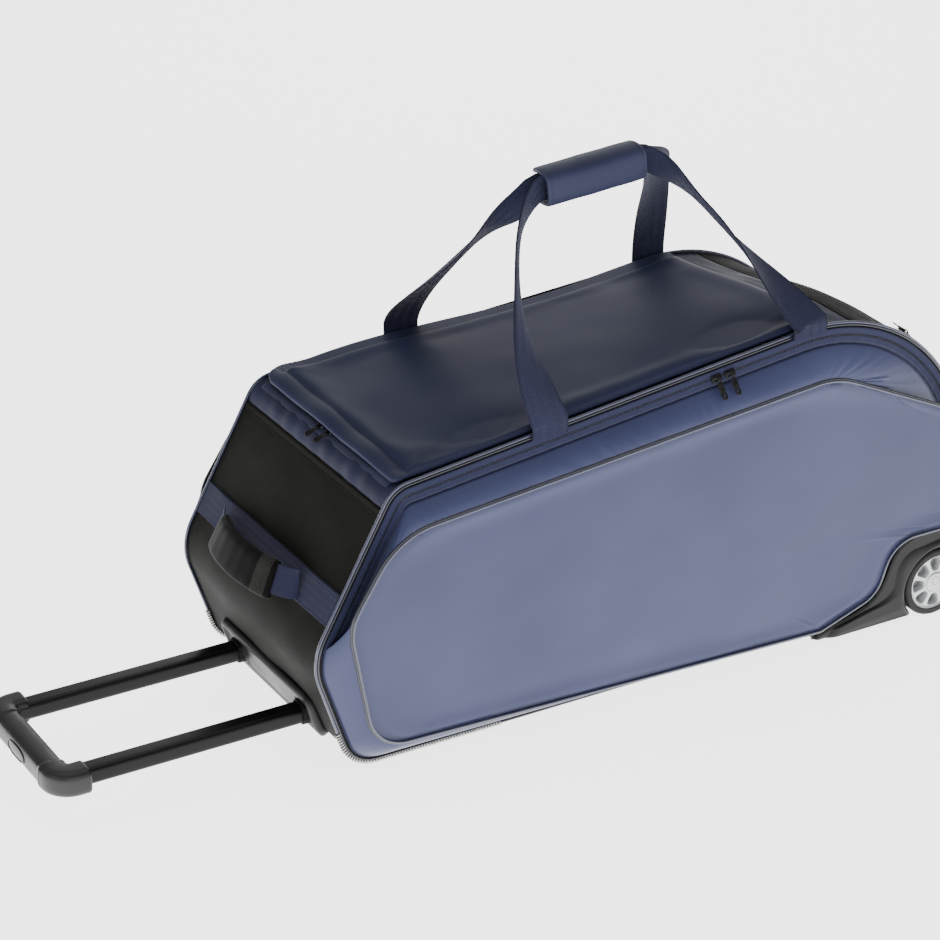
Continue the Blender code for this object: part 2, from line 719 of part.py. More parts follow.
# Grip: a crossbar with two sleeves, hollow where the push bar, the button and the tubes go.
GRIP_IN_X = -HANDLE_REACH
GRIP_BAR_X = GRIP_FACE_X + GRIP_DEPTH
arm_in = TUBE_SPACING / 2 - GRIP_ARM_WIDTH / 2
grip_plan = [
    (GRIP_FACE_X, -GRIP_WIDTH / 2 + GRIP_CORNER),
    (GRIP_FACE_X + GRIP_CORNER, -GRIP_WIDTH / 2),
    (GRIP_IN_X, -TUBE_SPACING / 2 - GRIP_ARM_WIDTH / 2),
    (GRIP_IN_X, -arm_in),
    (GRIP_BAR_X + GRIP_INNER_CORNER[0], -arm_in),
    (GRIP_BAR_X, -arm_in + GRIP_INNER_CORNER[1]),
    (GRIP_BAR_X, arm_in - GRIP_INNER_CORNER[1]),
    (GRIP_BAR_X + GRIP_INNER_CORNER[0], arm_in),
    (GRIP_IN_X, arm_in),
    (GRIP_IN_X, TUBE_SPACING / 2 + GRIP_ARM_WIDTH / 2),
    (GRIP_FACE_X + GRIP_CORNER, GRIP_WIDTH / 2),
    (GRIP_FACE_X, GRIP_WIDTH / 2 - GRIP_CORNER),
]
bm = bmesh.new()
low = [bm.verts.new((x, y, TUBE_Z - GRIP_HEIGHT / 2)) for x, y in grip_plan]
high = [bm.verts.new((x, y, TUBE_Z + GRIP_HEIGHT / 2)) for x, y in grip_plan]
bm.faces.new(low)
bm.faces.new(high[::-1])
for i in range(len(grip_plan)):
    j = (i + 1) % len(grip_plan)
    bm.faces.new((low[j], low[i], high[i], high[j]))
bmesh.ops.recalc_face_normals(bm, faces=bm.faces)
grip = add("pull_grip", bm, "black_plastic", smooth=40)
bevel(grip, GRIP_BEVEL, 2, 60)

sockets = tube_holes(
    "grip_sockets",
    TUBE_WIDTH + 2 * GAP,
    TUBE_HEIGHT + 2 * GAP,
    TUBE_ROUND + GAP,
    TUBE_X0 - GAP,
    GRIP_IN_X + 0.01,
)
cut(grip, sockets)
BUTTON_X = GRIP_FACE_X - BUTTON_PROUD
PUSH_X = BUTTON_X + BUTTON_DEPTH
CHANNEL_HALF = TUBE_SPACING / 2 + ROD_SIZE / 2 + GAP
BAR_X0 = PUSH_X + GAP
CHANNEL_END = BAR_X0 + PUSH_BAR_DEPTH + BUTTON_TRAVEL + GAP
channel = cutter(
    "push_channel",
    box(
        (PUSH_X, -CHANNEL_HALF, TUBE_Z - ROD_SIZE / 2 - GAP),
        (CHANNEL_END, CHANNEL_HALF, TUBE_Z + ROD_SIZE / 2 + GAP),
    ),
)
cut(grip, channel)
button_hole = cutter(
    "button_hole",
    box(
        (BUTTON_X - 0.01, -BUTTON_WIDTH / 2 - GAP, TUBE_Z - BUTTON_HEIGHT / 2 - GAP),
        (CHANNEL_END, BUTTON_WIDTH / 2 + GAP, TUBE_Z + BUTTON_HEIGHT / 2 + GAP),
    ),
)
cut(grip, button_hole)
rod_ways = bmesh.new()
for _, side in SIDES:
    y = side * TUBE_SPACING / 2
    box(
        (CHANNEL_END - 0.002, y - ROD_SIZE / 2 - GAP, TUBE_Z - ROD_SIZE / 2 - GAP),
        (TUBE_X0 + 0.005, y + ROD_SIZE / 2 + GAP, TUBE_Z + ROD_SIZE / 2 + GAP),
        rod_ways,
    )
cut(grip, cutter("rod_ways", rod_ways))

button_origin = (BUTTON_X, 0.0, TUBE_Z)
button = add(
    "release_button",
    box(
        (BUTTON_X, -BUTTON_WIDTH / 2, TUBE_Z - BUTTON_HEIGHT / 2),
        (PUSH_X, BUTTON_WIDTH / 2, TUBE_Z + BUTTON_HEIGHT / 2),
    ),
    "black_plastic",
    button_origin,
)
bevel(button, 0.0015, 2)

PIN_X = GUIDE_X0 + TUBE_OVERLAP - PIN_FROM_END
rods = bmesh.new()
half_rod = ROD_SIZE / 2
for _, side in SIDES:
    y = side * TUBE_SPACING / 2
    box(
        (BAR_X0 + PUSH_BAR_DEPTH - 0.001, y - half_rod, TUBE_Z - half_rod),
        (PIN_X - BUTTON_TRAVEL - PIN_RADIUS - 0.001, y + half_rod, TUBE_Z + half_rod),
        rods,
    )
push = add("push_rods", rods, "steel", button_origin)
bar = cutter(
    "push_bar",
    box(
        (BAR_X0, -TUBE_SPACING / 2 - half_rod, TUBE_Z - half_rod),
        (BAR_X0 + PUSH_BAR_DEPTH, TUBE_SPACING / 2 + half_rod, TUBE_Z + half_rod),
    ),
)
join = push.modifiers.new("push_bar", "BOOLEAN")
join.operation = "UNION"
join.object = bar
join.solver = "EXACT"

for side_name, side in SIDES:
    wall_y = side * (TUBE_SPACING / 2 + TUBE_WIDTH / 2 - TUBE_WALL - GAP)
    start_y = wall_y - side * PIN_LENGTH
    pin = disc(PIN_RADIUS, start_y, wall_y, (PIN_X, TUBE_Z), 16)
    add(side_name + "_lock_pin", pin, "steel", (PIN_X, wall_y, TUBE_Z), smooth=35)

# ---------------------------------------------------------------- body shell

front_panel = add(
    "handle_end_panel",
    prism(
        band_points(S_BOTTOM_FRONT - PROFILE.length, S_FRONT_SEAM, -FABRIC, 0),
        -BAND_HALF,
        BAND_HALF,
    ),
    "black_fabric",
    smooth=35,
)
cut(front_panel, guide_way)

base = add(
    "base_panel",
    prism(
        band_points(S_BOTTOM_REAR, S_BOTTOM_FRONT - GAP, -BOARD, 0), -BAND_HALF, BAND_HALF
    ),
    "black_fabric",
    smooth=35,
)
cut(base, bay_cutter)

S_TOP0 = S_FRONT_SEAM + GAP
top = add(
    "top_frame",
    prism(band_points(S_TOP0, S_REAR_SEAM, -FABRIC, 0), -BAND_HALF, BAND_HALF),
    "navy_coated",
    smooth=35,
)
S_OPEN0 = S_LID0 + LID_OPENING_RIM
S_OPEN1 = S_LID1 - LID_OPENING_RIM
OPEN_HALF = LID_HALF - LID_OPENING_RIM
opening = cutter(
    "lid_opening", prism(band_points(S_OPEN0, S_OPEN1, -0.02, 0.02), -OPEN_HALF, OPEN_HALF)
)
cut(top, opening)

tail = add(
    "wheel_end_panel",
    prism(
        band_points(S_REAR_SEAM + GAP, S_BOTTOM_REAR - GAP, -FABRIC, 0), -BAND_HALF, BAND_HALF
    ),
    "black_fabric",
    smooth=35,
)
cut(tail, bay_cutter)

for side_name, side in SIDES:
    outline = [PROFILE.at(s, -GAP) for s in PROFILE.stations[:-1]]
    wall = add(
        side_name + "_side_wall",
        prism(outline, (HALF - WALL) * side, HALF * side),
        "navy_pocket",
    )
    cut(wall, bay_cutter)

# ---------------------------------------------------------------- lid

hinge_x, hinge_z = PROFILE.at(S_LID1, LID_THICKNESS / 2)
lid_section = band_points(S_LID0, S_LID1, GAP, LID_THICKNESS)
lid = add(
    "lid",
    prism(lid_section, -LID_HALF, LID_HALF),
    "navy_coated",
    (hinge_x, 0.0, hinge_z),
    smooth=35,
)
bevel(lid, 0.0035, 2, 60)

# Tape of the lid's zip, across the end under the lid's front edge.
lid_tape_s = S_LID0 - LID_TAPE[0]
lid_tape = prism(
    band_points(lid_tape_s, S_LID0 - LID_TAPE[1], GAP, GAP + ZIP_TAPE_THICKNESS),
    -LID_HALF + LID_TAPE_MARGIN,
    LID_HALF - LID_TAPE_MARGIN,
)
add("lid_zip_tape", lid_tape, "navy_webbing")

# ---------------------------------------------------------------- side pockets


def inset_corners(corners, inset):
    """Corners of an open run of straight edges, each edge moved inwards by inset."""
    moved = []
    for a, b, c in zip(corners, corners[1:], corners[2:]):
        into = Vector((b[0] - a[0], b[1] - a[1])).normalized()
        out = Vector((c[0] - b[0], c[1] - b[1])).normalized()
        share = (Vector((into.y, -into.x)) + Vector((out.y, -out.x))).normalized()
        reach = inset / share.dot(Vector((into.y, -into.x)))
        radius = max(b[2] - inset, 0.006)
        moved.append((b[0] + share.x * reach, b[1] + share.y * reach, radius))
    return moved


def at_height(a, b, z):
    """The x where the line through a and b is at height z."""
    return a[0] + (b[0] - a[0]) * (z - a[1]) / (b[1] - a[1])


def pocket_outline(inset, bottom, over_housing, base_radius):
    """Closed outline of a pocket: the bag's side profile inset, and stepped round the housing."""
    run = [
        (0.3, 0.0, 0.0),
        CORNER_FRONT_BASE,
        CORNER_NOSE,
        CORNER_SHOULDER,
        CORNER_CROWN,
        CORNER_TAIL,
    ]
    arch_x, arch_z, arch_radius = POCKET_ARCH_FOOT
    front_base, nose, shoulder, crown = inset_corners(run, inset)
    tail = inset_corners([CORNER_CROWN, CORNER_TAIL, (CORNER_TAIL[0], 0.0, 0.0)], inset)[0]
    front_x = at_height(front_base, nose, bottom)
    step_z = HOUSING_TOP + over_housing
    return [
        (front_x, bottom, base_radius),
        nose,
        shoulder,
        crown,
        (at_height(crown, tail, step_z), step_z, POCKET_TAIL_RADIUS),
        (WHEEL_X - POCKET_ARCH_TOP[0] - over_housing, step_z, POCKET_ARCH_TOP[1]),
        (WHEEL_X - arch_x - over_housing, arch_z + over_housing, arch_radius),
        (HOUSING_TAIL_X + POCKET_HEEL[0] - over_housing, bottom, POCKET_HEEL[1]),
    ]


POCKET_RIM = pocket_outline(POCKET_RIM_INSET, *POCKET_RIM_FOOT)
POCKET_FRONT = pocket_outline(POCKET_RIM_INSET + POCKET_EDGE, *POCKET_FRONT_FOOT)


def resampled(corners, count, inset):
    """count points spread evenly along a rounded outline, moved inwards by inset."""
    raw = rounded_outline(corners, radians(6))
    places = [0.0]
    for a, b in zip(raw, raw[1:] + raw[:1]):
        places.append(places[-1] + hypot(b[0] - a[0], b[1] - a[1]))
    even, i = [], 0
    for k in range(count):
        want = places[-1] * k / count
        while places[i + 1] < want:
            i += 1
        a, b = raw[i], raw[(i + 1) % len(raw)]
        t = (want - places[i]) / (places[i + 1] - places[i])
        normal = Vector((a[2] + (b[2] - a[2]) * t, a[3] + (b[3] - a[3]) * t)).normalized()
        x = a[0] + (b[0] - a[0]) * t - normal.x * inset
        z = a[1] + (b[1] - a[1]) * t - normal.y * inset
        even.append((x, z))
    return even


def pocket_shell(side, keep_above):
    """One half of a pocket's dished front: a thin shell, cut at the fold line."""
    y0 = (HALF + GAP) * side
    y1 = POCKET_OUT * side
    layers = [
        (POCKET_RIM, POCKET_WALL, y0),
        (POCKET_RIM, 0.0, y0),
        (POCKET_FRONT, 0.0, y1),
        (POCKET_FRONT, POCKET_WALL, y1 - POCKET_WALL * side),
    ]
    bm = bmesh.new()
    rings = []
    for corners, inset, y in layers:
        points = resampled(corners, POCKET_RING_POINTS, inset)
        rings.append([bm.verts.new((x, y, z)) for x, z in points])
    for a, b in ((0, 1), (1, 2), (3, 0)):
        for i in range(POCKET_RING_POINTS):
            j = (i + 1) % POCKET_RING_POINTS
            bm.faces.new((rings[a][i], rings[a][j], rings[b][j], rings[b][i]))
    bm.faces.new(rings[2])
    bm.faces.new(rings[3][::-1])
    bmesh.ops.recalc_face_normals(bm, faces=bm.faces)
    up = 1 if keep_above else -1
    height = POCKET_SPLIT_HEIGHT + up * POCKET_SPLIT_GAP / 2
    parts = bmesh.ops.bisect_plane(
        bm,
        geom=[*bm.verts, *bm.edges, *bm.faces],
        plane_co=(0, 0, height),
        plane_no=(0, 0, 1),
        clear_inner=keep_above,
        clear_outer=not keep_above,
    )
    edges = [e for e in parts["geom_cut"] if isinstance(e, bmesh.types.BMEdge)]
    bmesh.ops.triangle_fill(bm, edges=edges, use_beauty=True)
    bmesh.ops.recalc_face_normals(bm, faces=bm.faces)
    return bm


FLAP_AXIS = (0.0, POCKET_OUT, POCKET_SPLIT_HEIGHT)
for side_name, side in SIDES:
    origin = (FLAP_AXIS[0], FLAP_AXIS[1] * side, FLAP_AXIS[2])
    add(side_name + "_pocket_flap", pocket_shell(side, True), "navy_pocket", origin)
    add(side_name + "_pocket_base", pocket_shell(side, False), "navy_pocket")

# ---------------------------------------------------------------- piping, corner coils and zip tapes

S_COIL0 = PROFILE.where(S_FRONT - 0.05, S_NOSE, lambda x, z: z > 0.045)
S_PIPE_END = PROFILE.where(S_CROWN, S_TAIL_BASE, lambda x, z: x > 0.7 and z < HOUSING_TOP + 0.012)
S_BASE_PIPE0 = PROFILE.where(
    PROFILE.length - 0.85, PROFILE.length, lambda x, z: z < 0.001 and x < HOUSING_TAIL_X - 0.01
)


def along_profile(s0, s1, lift, y, step=0.022):
    """3D points that follow the profile, close enough for its bends."""
    stations = PROFILE.stretch(s0, s1)
    points = []
    for a, b in zip(stations, stations[1:]):
        count = max(1, round((b - a) / step)) if b - a > 2 * step else 1
        for k in range(count):
            x, z = PROFILE.at(a + (b - a) * k / count, lift)
            points.append((x, y, z))
    x, z = PROFILE.at(stations[-1], lift)
    points.append((x, y, z))
    return points


for side_name, side in SIDES:
    points = along_profile(
        S_COIL0 + 0.002, S_PIPE_END, PIPING_RADIUS + PIPING_LIFT, side * (HALF - PIPING_INSET), 0.06
    )
    tube_path(side_name + "_edge_piping", points, PIPING_RADIUS, "piping_white")

for side_name, side in SIDES:
    y = side * (HALF - PIPING_INSET)
    path = along_profile(S_BASE_PIPE0 - PROFILE.length, S_COIL0, COIL_RADIUS + PIPING_LIFT, y, 0.08)
    name = side_name + "_base_edge_coil"
    tube_path(name, path, COIL_RADIUS, "black_plastic", 1)

S_ZIP0 = PROFILE.where(S_FRONT, S_SHOULDER, lambda x, z: z > POCKET_SPLIT_HEIGHT + 0.004)
S_ZIP1 = PROFILE.where(S_CROWN, S_TAIL_BASE, lambda x, z: x > 0.7 and z < POCKET_SPLIT_HEIGHT + 0.01)
for side_name, side in SIDES:
    section = band_points(
        S_ZIP0, S_ZIP1, -ZIP_TAPE_START - ZIP_TAPE_WIDTH, -ZIP_TAPE_START
    )
    y0 = (HALF + GAP) * side
    tape = prism(section, y0, y0 + ZIP_TAPE_THICKNESS * side)
    add(side_name + "_pocket_zip_tape", tape, "navy_webbing")

S_END_ZIP0 = S_REAR_SEAM + END_ZIP_DROP
S_END_ZIP1 = S_END_ZIP0 + END_ZIP_LENGTH
END_ZIP_Y = -BAND_HALF + END_ZIP_INSET
end_tape = prism(
    band_points(S_END_ZIP0, S_END_ZIP1, GAP, GAP + ZIP_TAPE_THICKNESS),
    END_ZIP_Y - END_ZIP_HALF,
    END_ZIP_Y + END_ZIP_HALF,
)
add("end_pocket_zip_tape", end_tape, "zip_metal")

# ---------------------------------------------------------------- zip sliders and their pulls


def slider(name, place, along, out, hang, lean=0.0):
    """A slider and the pull that hangs from it; lean tips the pull away from the surface."""
    along, out = Vector(along).normalized(), Vector(out).normalized()
    side = out.cross(along)
    hang = Vector(hang).normalized()
    spin = out.cross(hang).normalized()
    place = Vector(place)
    tipped = hang * cos(lean) + out * sin(lean)
    face = out * cos(lean) - hang * sin(lean)

    def block(centre, directions, sizes, bm=None):
        bm = bm or bmesh.new()
        corners = []
        for u in (-0.5, 0.5):
            for v in (-0.5, 0.5):
                for w in (-0.5, 0.5):
                    offset = (
                        directions[0] * (u * sizes[0])
                        + directions[1] * (v * sizes[1])
                        + directions[2] * (w * sizes[2])
                    )
                    corners.append(bm.verts.new(centre + offset))
        quads = (
            (0, 1, 3, 2),
            (4, 6, 7, 5),
            (0, 4, 5, 1),
            (2, 3, 7, 6),
            (0, 2, 6, 4),
            (1, 5, 7, 3),
        )
        made = [bm.faces.new([corners[i] for i in quad]) for quad in quads]
        bmesh.ops.recalc_face_normals(bm, faces=made)
        return bm

    body_centre = place + out * (SLIDER_HEIGHT / 2)
    body = block(body_centre, (along, side, out), (SLIDER_LENGTH, SLIDER_WIDTH, SLIDER_HEIGHT))
    made = add(name + "_slider", body, "zip_metal", tuple(place), smooth=35)
    bevel(made, 0.0010, 1)

    pivot = place + out * (SLIDER_HEIGHT + GAP + PULL_THICKNESS / 2 + PULL_TAIL * sin(lean))
    centre = pivot + tipped * (PULL_LENGTH / 2 - PULL_TAIL)
    pull = block(centre, (tipped, spin, face), (PULL_LENGTH, PULL_WIDTH, PULL_THICKNESS))
    made = add(name + "_pull", pull, "zip_metal", tuple(pivot), smooth=35)
    bevel(made, 0.0006, 1)


zip_lift = -ZIP_TAPE_START - ZIP_TAPE_WIDTH / 2
for side_name, side in SIDES:
    for number, label in enumerate("ab"):
        slider_x = BODY_LENGTH - SIDE_SLIDER_TO_TAIL + number * SIDE_SLIDER_SPACING
        s = PROFILE.where(S_SHOULDER, S_CROWN, lambda x, z: x > slider_x)
        x, z = PROFILE.at(s, zip_lift)
        dx, dz = PROFILE.direction(s)
        rest = (HALF + 2 * GAP + ZIP_TAPE_THICKNESS) * side
        slider_name = f"{side_name}_pocket_{label}"
        out = (0, side, 0)
        slider(slider_name, (x, rest, z), (dx, 0, dz), out, (dz, 0.0, -dx), radians(PULL_LEAN))

for label, y in zip(("a", "b"), LID_SLIDER_Y):
    s = lid_tape_s + LID_SLIDER_INSET
    x, z = PROFILE.at(s, 2 * GAP + ZIP_TAPE_THICKNESS)
    dx, dz = PROFILE.direction(s)
    slider("lid_" + label, (x, y, z), (0, 1, 0), (-dz, 0, dx), (-dx, 0, -dz))

s = S_END_ZIP0 + END_SLIDER_START
x, z = PROFILE.at(s, END_SLIDER_LIFT + ZIP_TAPE_THICKNESS)
dx, dz = PROFILE.direction(s)
slider("end_pocket", (x, END_ZIP_Y, z), (dx, 0, dz), (-dz, 0, dx), (-dx, 0, -dz))

# ---------------------------------------------------------------- webbing and grab handle on the handle end

S_WEB0 = S_NOSE + END_WEBBING_START
webbing = prism(
    band_points(S_WEB0, S_WEB0 + END_WEBBING, GAP, GAP + WEBBING_THICKNESS),
    -STRIP_HALF,
    STRIP_HALF,
)
add("end_webbing", webbing, "navy_webbing")

grab_s = S_WEB0 + END_WEBBING / 2
grab_x, grab_z = PROFILE.at(grab_s, 2 * GAP + WEBBING_THICKNESS)
gdx, gdz = PROFILE.direction(grab_s)
face_out = Vector((-gdz, 0.0, gdx))
face_up = Vector((gdx, 0.0, gdz))
reach_out = (face_out * GRAB_DIRECTION[0] - Vector((0, 0, GRAB_DIRECTION[1]))).normalized()
grab_root = Vector((grab_x, 0.0, grab_z)) + face_out * GRAB_LIFT
centres, across = [], []
for k in range(GRAB_STEPS + 1):
    t = -1 + 2 * k / GRAB_STEPS
    bow = (1 - t * t) ** GRAB_BOW if abs(t) < 1 else 0.0
    centres.append(grab_root + Vector((0, GRAB_HALF_SPAN * t, 0)) + reach_out * GRAB_REACH * bow)
    across.append(face_up)
grab = ribbon(centres, across, GRAB_WEBBING, WEBBING_THICKNESS)
pad = bmesh.new()
inside = [c for c in centres if abs(c.y) <= GRAB_PAD_HALF]
ribbon(inside, across[: len(inside)], GRAB_PAD_HEIGHT, GRAB_PAD_THICKNESS, pad)
grab_made = add("grab_handle", grab, "black_fabric", tuple(grab_root), smooth=50)
pad_tool = cutter("grab_pad", pad)
join = grab_made.modifiers.new("pad", "BOOLEAN")
join.operation = "UNION"
join.object = pad_tool
join.solver = "EXACT"

# ---------------------------------------------------------------- carry straps and their wrap

front_root = PROFILE.at(PROFILE.where(S_SHOULDER, S_CROWN, lambda x, z: x > STRAP_FRONT_X), 0)
rear_root = PROFILE.at(PROFILE.where(S_SHOULDER, S_CROWN, lambda x, z: x > STRAP_REAR_X), 0)
STRAP_Y = HALF + STRAP_OUT
strap_origin = (
    (front_root[0] + rear_root[0]) / 2,
    STRAP_Y,
    (front_root[1] + rear_root[1]) / 2 - STRAP_FOOT_DROP,
)


def bezier(a, b, c, d, t):
    return a * (1 - t) ** 3 + b * 3 * t * (1 - t) ** 2 + c * 3 * t * t * (1 - t) + d * t**3


def strap(side):
    """One carry strap: up from the piping, over into the wrap, along it and down again."""
    inner_y = side * STRAP_PAIR_GAP
    wrap_front = Vector((WRAP_X0 - WRAP_END_GAP, inner_y, WRAP_Z))
    wrap_rear = Vector(
        (WRAP_X1 + WRAP_END_GAP, inner_y, WRAP_Z + WRAP_SLOPE * (WRAP_X1 - WRAP_X0))
    )
    centres, across = [], []
    upright, sideways = Vector((0, 0, 1)), Vector((1, 0, 0))
    for root, top_end, lean in (
        (front_root, wrap_front, Vector((STRAP_LEANS[0], 0, 0))),
        (rear_root, wrap_rear, Vector((STRAP_LEANS[1], 0, 0))),
    ):
        end = Vector((root[0], side * STRAP_Y, root[1] - STRAP_FOOT_DROP))
        foot = end + Vector((0, 0, STRAP_FOOT))
        low = foot + Vector((0, 0, STRAP_RISE))
        high = top_end + lean
        leg, turn = [end], [sideways]
        for k in range(STRAP_STEPS + 1):
            t = k / STRAP_STEPS
            leg.append(bezier(foot, low, high, top_end, t))
            mix = t * t * (3 - 2 * t)
            turn.append(sideways * (1 - mix) + upright * mix * (1 if lean.x < 0 else -1))
        if lean.x > 0:
            leg, turn = leg[::-1], turn[::-1]
            turn = [-v for v in turn]
        centres += leg
        across += turn
    return ribbon(centres, across, STRAP_WIDTH, STRAP_THICKNESS)


for side_name, side in SIDES:
    origin = (strap_origin[0], side * STRAP_Y, strap_origin[2])
    bm = strap(side)
    add(side_name + "_carry_strap", bm, "navy_webbing", origin, smooth=50)

# The wrap: a folded pad, open towards the far strap so that the two straps can part.
wrap_half, wrap_top = WRAP_THICKNESS / 2, WRAP_HEIGHT / 2 + WRAP_CHAMFER
wrap_section = [
    (-wrap_half, -WRAP_HEIGHT / 2),
    (-wrap_half, WRAP_HEIGHT / 2 - WRAP_CHAMFER),
    (-wrap_half + WRAP_CHAMFER, wrap_top),
    (wrap_half, wrap_top),
]
inner_section = [
    (wrap_half, wrap_top - WRAP_WALL),
    (-wrap_half + WRAP_WALL + WRAP_CHAMFER / 2, wrap_top - WRAP_WALL),
    (-wrap_half + WRAP_WALL, WRAP_HEIGHT / 2 - WRAP_CHAMFER),
    (-wrap_half + WRAP_WALL, -WRAP_HEIGHT / 2),
]
bm = bmesh.new()
ends = []
for x in (WRAP_X0, WRAP_X1):
    z = WRAP_Z + WRAP_SLOPE * (x - WRAP_X0)
    ends.append([bm.verts.new((x, y, z + dz)) for y, dz in wrap_section + inner_section])
made = [bm.faces.new(ends[0]), bm.faces.new(ends[1][::-1])]
for i in range(len(ends[0])):
    j = (i + 1) % len(ends[0])
    made.append(bm.faces.new((ends[0][j], ends[0][i], ends[1][i], ends[1][j])))
bmesh.ops.recalc_face_normals(bm, faces=made)
near_origin = (strap_origin[0], -STRAP_Y, strap_origin[2])
add("strap_wrap", bm, "navy_coated", near_origin)

# ---------------------------------------------------------------- stand under the handle end

stand = [
    (FOOT_X, -GAP),
    (FOOT_X + 0.006, -BASE_HEIGHT),
    (FOOT_X + FOOT_LENGTH - 0.006, -BASE_HEIGHT),
    (FOOT_X + FOOT_LENGTH, -GAP),
]
foot = add("base_foot", prism(stand, -FOOT_HALF, FOOT_HALF), "black_plastic")
bevel(foot, 0.002, 1)
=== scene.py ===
import math

import bmesh
import bpy
import numpy as np
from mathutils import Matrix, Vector


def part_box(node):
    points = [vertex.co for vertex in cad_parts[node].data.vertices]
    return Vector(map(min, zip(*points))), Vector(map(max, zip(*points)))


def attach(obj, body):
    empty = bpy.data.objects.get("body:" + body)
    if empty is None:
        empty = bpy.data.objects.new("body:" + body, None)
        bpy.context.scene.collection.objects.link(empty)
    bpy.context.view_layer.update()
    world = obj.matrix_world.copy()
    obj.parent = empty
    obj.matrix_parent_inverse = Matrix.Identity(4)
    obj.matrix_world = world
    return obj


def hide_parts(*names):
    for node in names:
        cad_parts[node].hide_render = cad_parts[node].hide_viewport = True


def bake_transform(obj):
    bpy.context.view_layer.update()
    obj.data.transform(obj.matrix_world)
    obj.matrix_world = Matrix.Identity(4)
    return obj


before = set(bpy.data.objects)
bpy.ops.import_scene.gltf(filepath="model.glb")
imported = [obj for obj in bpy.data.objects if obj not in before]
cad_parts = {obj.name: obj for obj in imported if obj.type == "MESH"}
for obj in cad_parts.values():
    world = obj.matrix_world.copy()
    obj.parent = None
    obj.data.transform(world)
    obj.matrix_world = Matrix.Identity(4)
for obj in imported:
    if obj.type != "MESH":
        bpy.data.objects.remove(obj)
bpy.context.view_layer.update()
rng = np.random.default_rng(7)  # the only source of chance, drawn in a fixed order
print("frame loaded")

# Measures are kept from the bag's own corner: x from the base corner at the handle end, z above the base.
tyreLow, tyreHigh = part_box("near_tyre")
wheelX, wheelZ, wheelY = 0.777, 0.0205, 0.1625
wheelRadius = 0.0445
housingTop = wheelZ + wheelRadius + 0.0305
frontBase, frontNose = (-0.02, 0.0), (-0.066, 0.14)  # handle end's lower edge, as x and z
bagOrigin = np.array(
    [(tyreLow.x + tyreHigh.x) / 2 - wheelX, 0.0, (tyreLow.z + tyreHigh.z) / 2 - wheelZ]
)
sides = {"near": -1, "far": 1}

bag = {
    # side profile: x, z, corner radius
    "corners": [
        (-0.02, 0.000, 0.04),
        (-0.066, 0.14, 0.07),
        (0.036, 0.325, 0.035),
        (0.733, 0.412, 0.22),
        (0.852, 0.11, 0.06),
        (0.822, 0.000, 0.014),
    ],
    "frontSeam": (0.0238, 0.3028),  # black end panel meets the navy header
    "lidFront": (0.0533, 0.3271),
    "lidRear": (0.5943, 0.3906),
    "rearSeam": (0.6434, 0.3843),  # navy header meets the black wheel end
    "fold": 0.15,  # height at which a pocket front folds open
}


# Rounded polygon: every corner is an arc tangent to its two edges. Rows are x, z and the outward normal.
def roundedOutline(corners, arcSteps=24, edgeSteps=None):
    rows, spots = [], np.array(corners, float)
    for i in range(len(spots)):
        here, radius = spots[i, :2], max(spots[i, 2], 1e-4)
        before, after = spots[i - 1, :2], spots[(i + 1) % len(spots), :2]
        into = (here - before) / np.linalg.norm(here - before)
        out = (after - here) / np.linalg.norm(after - here)
        turn = math.atan2(into[0] * out[1] - into[1] * out[0], into @ out)
        side = 1 if turn > 0 else -1
        outward = np.array([-into[1], into[0]])
        centre = here - into * radius * math.tan(abs(turn) / 2) + outward * radius * side
        angle = turn * np.linspace(0, 1, arcSteps + 1)
        nx = outward[0] * np.cos(angle) - outward[1] * np.sin(angle)
        nz = outward[0] * np.sin(angle) + outward[1] * np.cos(angle)
        arc = np.stack([centre[0] - nx * radius * side, centre[1] - nz * radius * side, nx, nz], 1)
        rows.append(arc)
    if edgeSteps is not None:  # straight edges cut into even steps, so that two outlines match point by point
        cut = []
        for i, arc in enumerate(rows):
            following = rows[(i + 1) % len(rows)]
            share = np.linspace(0, 1, edgeSteps[i] + 1)[1:-1, None]
            cut += [arc, arc[-1] * (1 - share) + following[0] * share]
        rows = cut
    return np.concatenate(rows)


outline = roundedOutline(bag["corners"], 40)
outlineLoop = np.concatenate([outline, outline[:1]])
stations = np.concatenate([[0], np.cumsum(np.hypot(*np.diff(outlineLoop[:, :2], axis=0).T))])
profileLength = stations[-1]


# Point on the profile at distance s, lifted outwards: straight interpolation of place and normal.
def onProfile(s, lift=0.0):
    s = np.mod(s, profileLength)
    x, z, nx, nz = (np.interp(s, stations, outlineLoop[:, k]) for k in range(4))
    size = np.hypot(nx, nz)
    return x + nx / size * lift, z + nz / size * lift


# Unit normal of the profile at distance s, by the same interpolation.
def profileNormal(s):
    s = np.mod(s, profileLength)
    nx, nz = (np.interp(s, stations, outlineLoop[:, k]) for k in (2, 3))
    return np.array([nx, nz]) / np.hypot(nx, nz)


# Distance along the profile of the place nearest to a point.
def stationAt(spot):
    s = np.linspace(0, profileLength, 8000)
    x, z = onProfile(s)
    return float(s[np.argmin(np.hypot(x - spot[0], z - spot[1]))])


frontSeamS = stationAt(bag["frontSeam"])
lidFrontS = stationAt(bag["lidFront"])
lidRearS = stationAt(bag["lidRear"])
rearSeamS = stationAt(bag["rearSeam"])


# Smoothstep from a to b.
def ease(value, a, b):
    t = np.clip((value - a) / (b - a), 0, 1)
    return t * t * (3 - 2 * t)


# Bell curve of the given half width.
def bell(value, centre, width):
    return np.exp(-(((value - centre) / width) ** 2))


# Quarter circle edge: rises from 0 to 1 as distance goes from 0 to radius.
def roundEdge(distance, radius):
    t = np.clip(distance / radius, 0, 1)
    return np.sqrt(1 - (1 - t) ** 2)


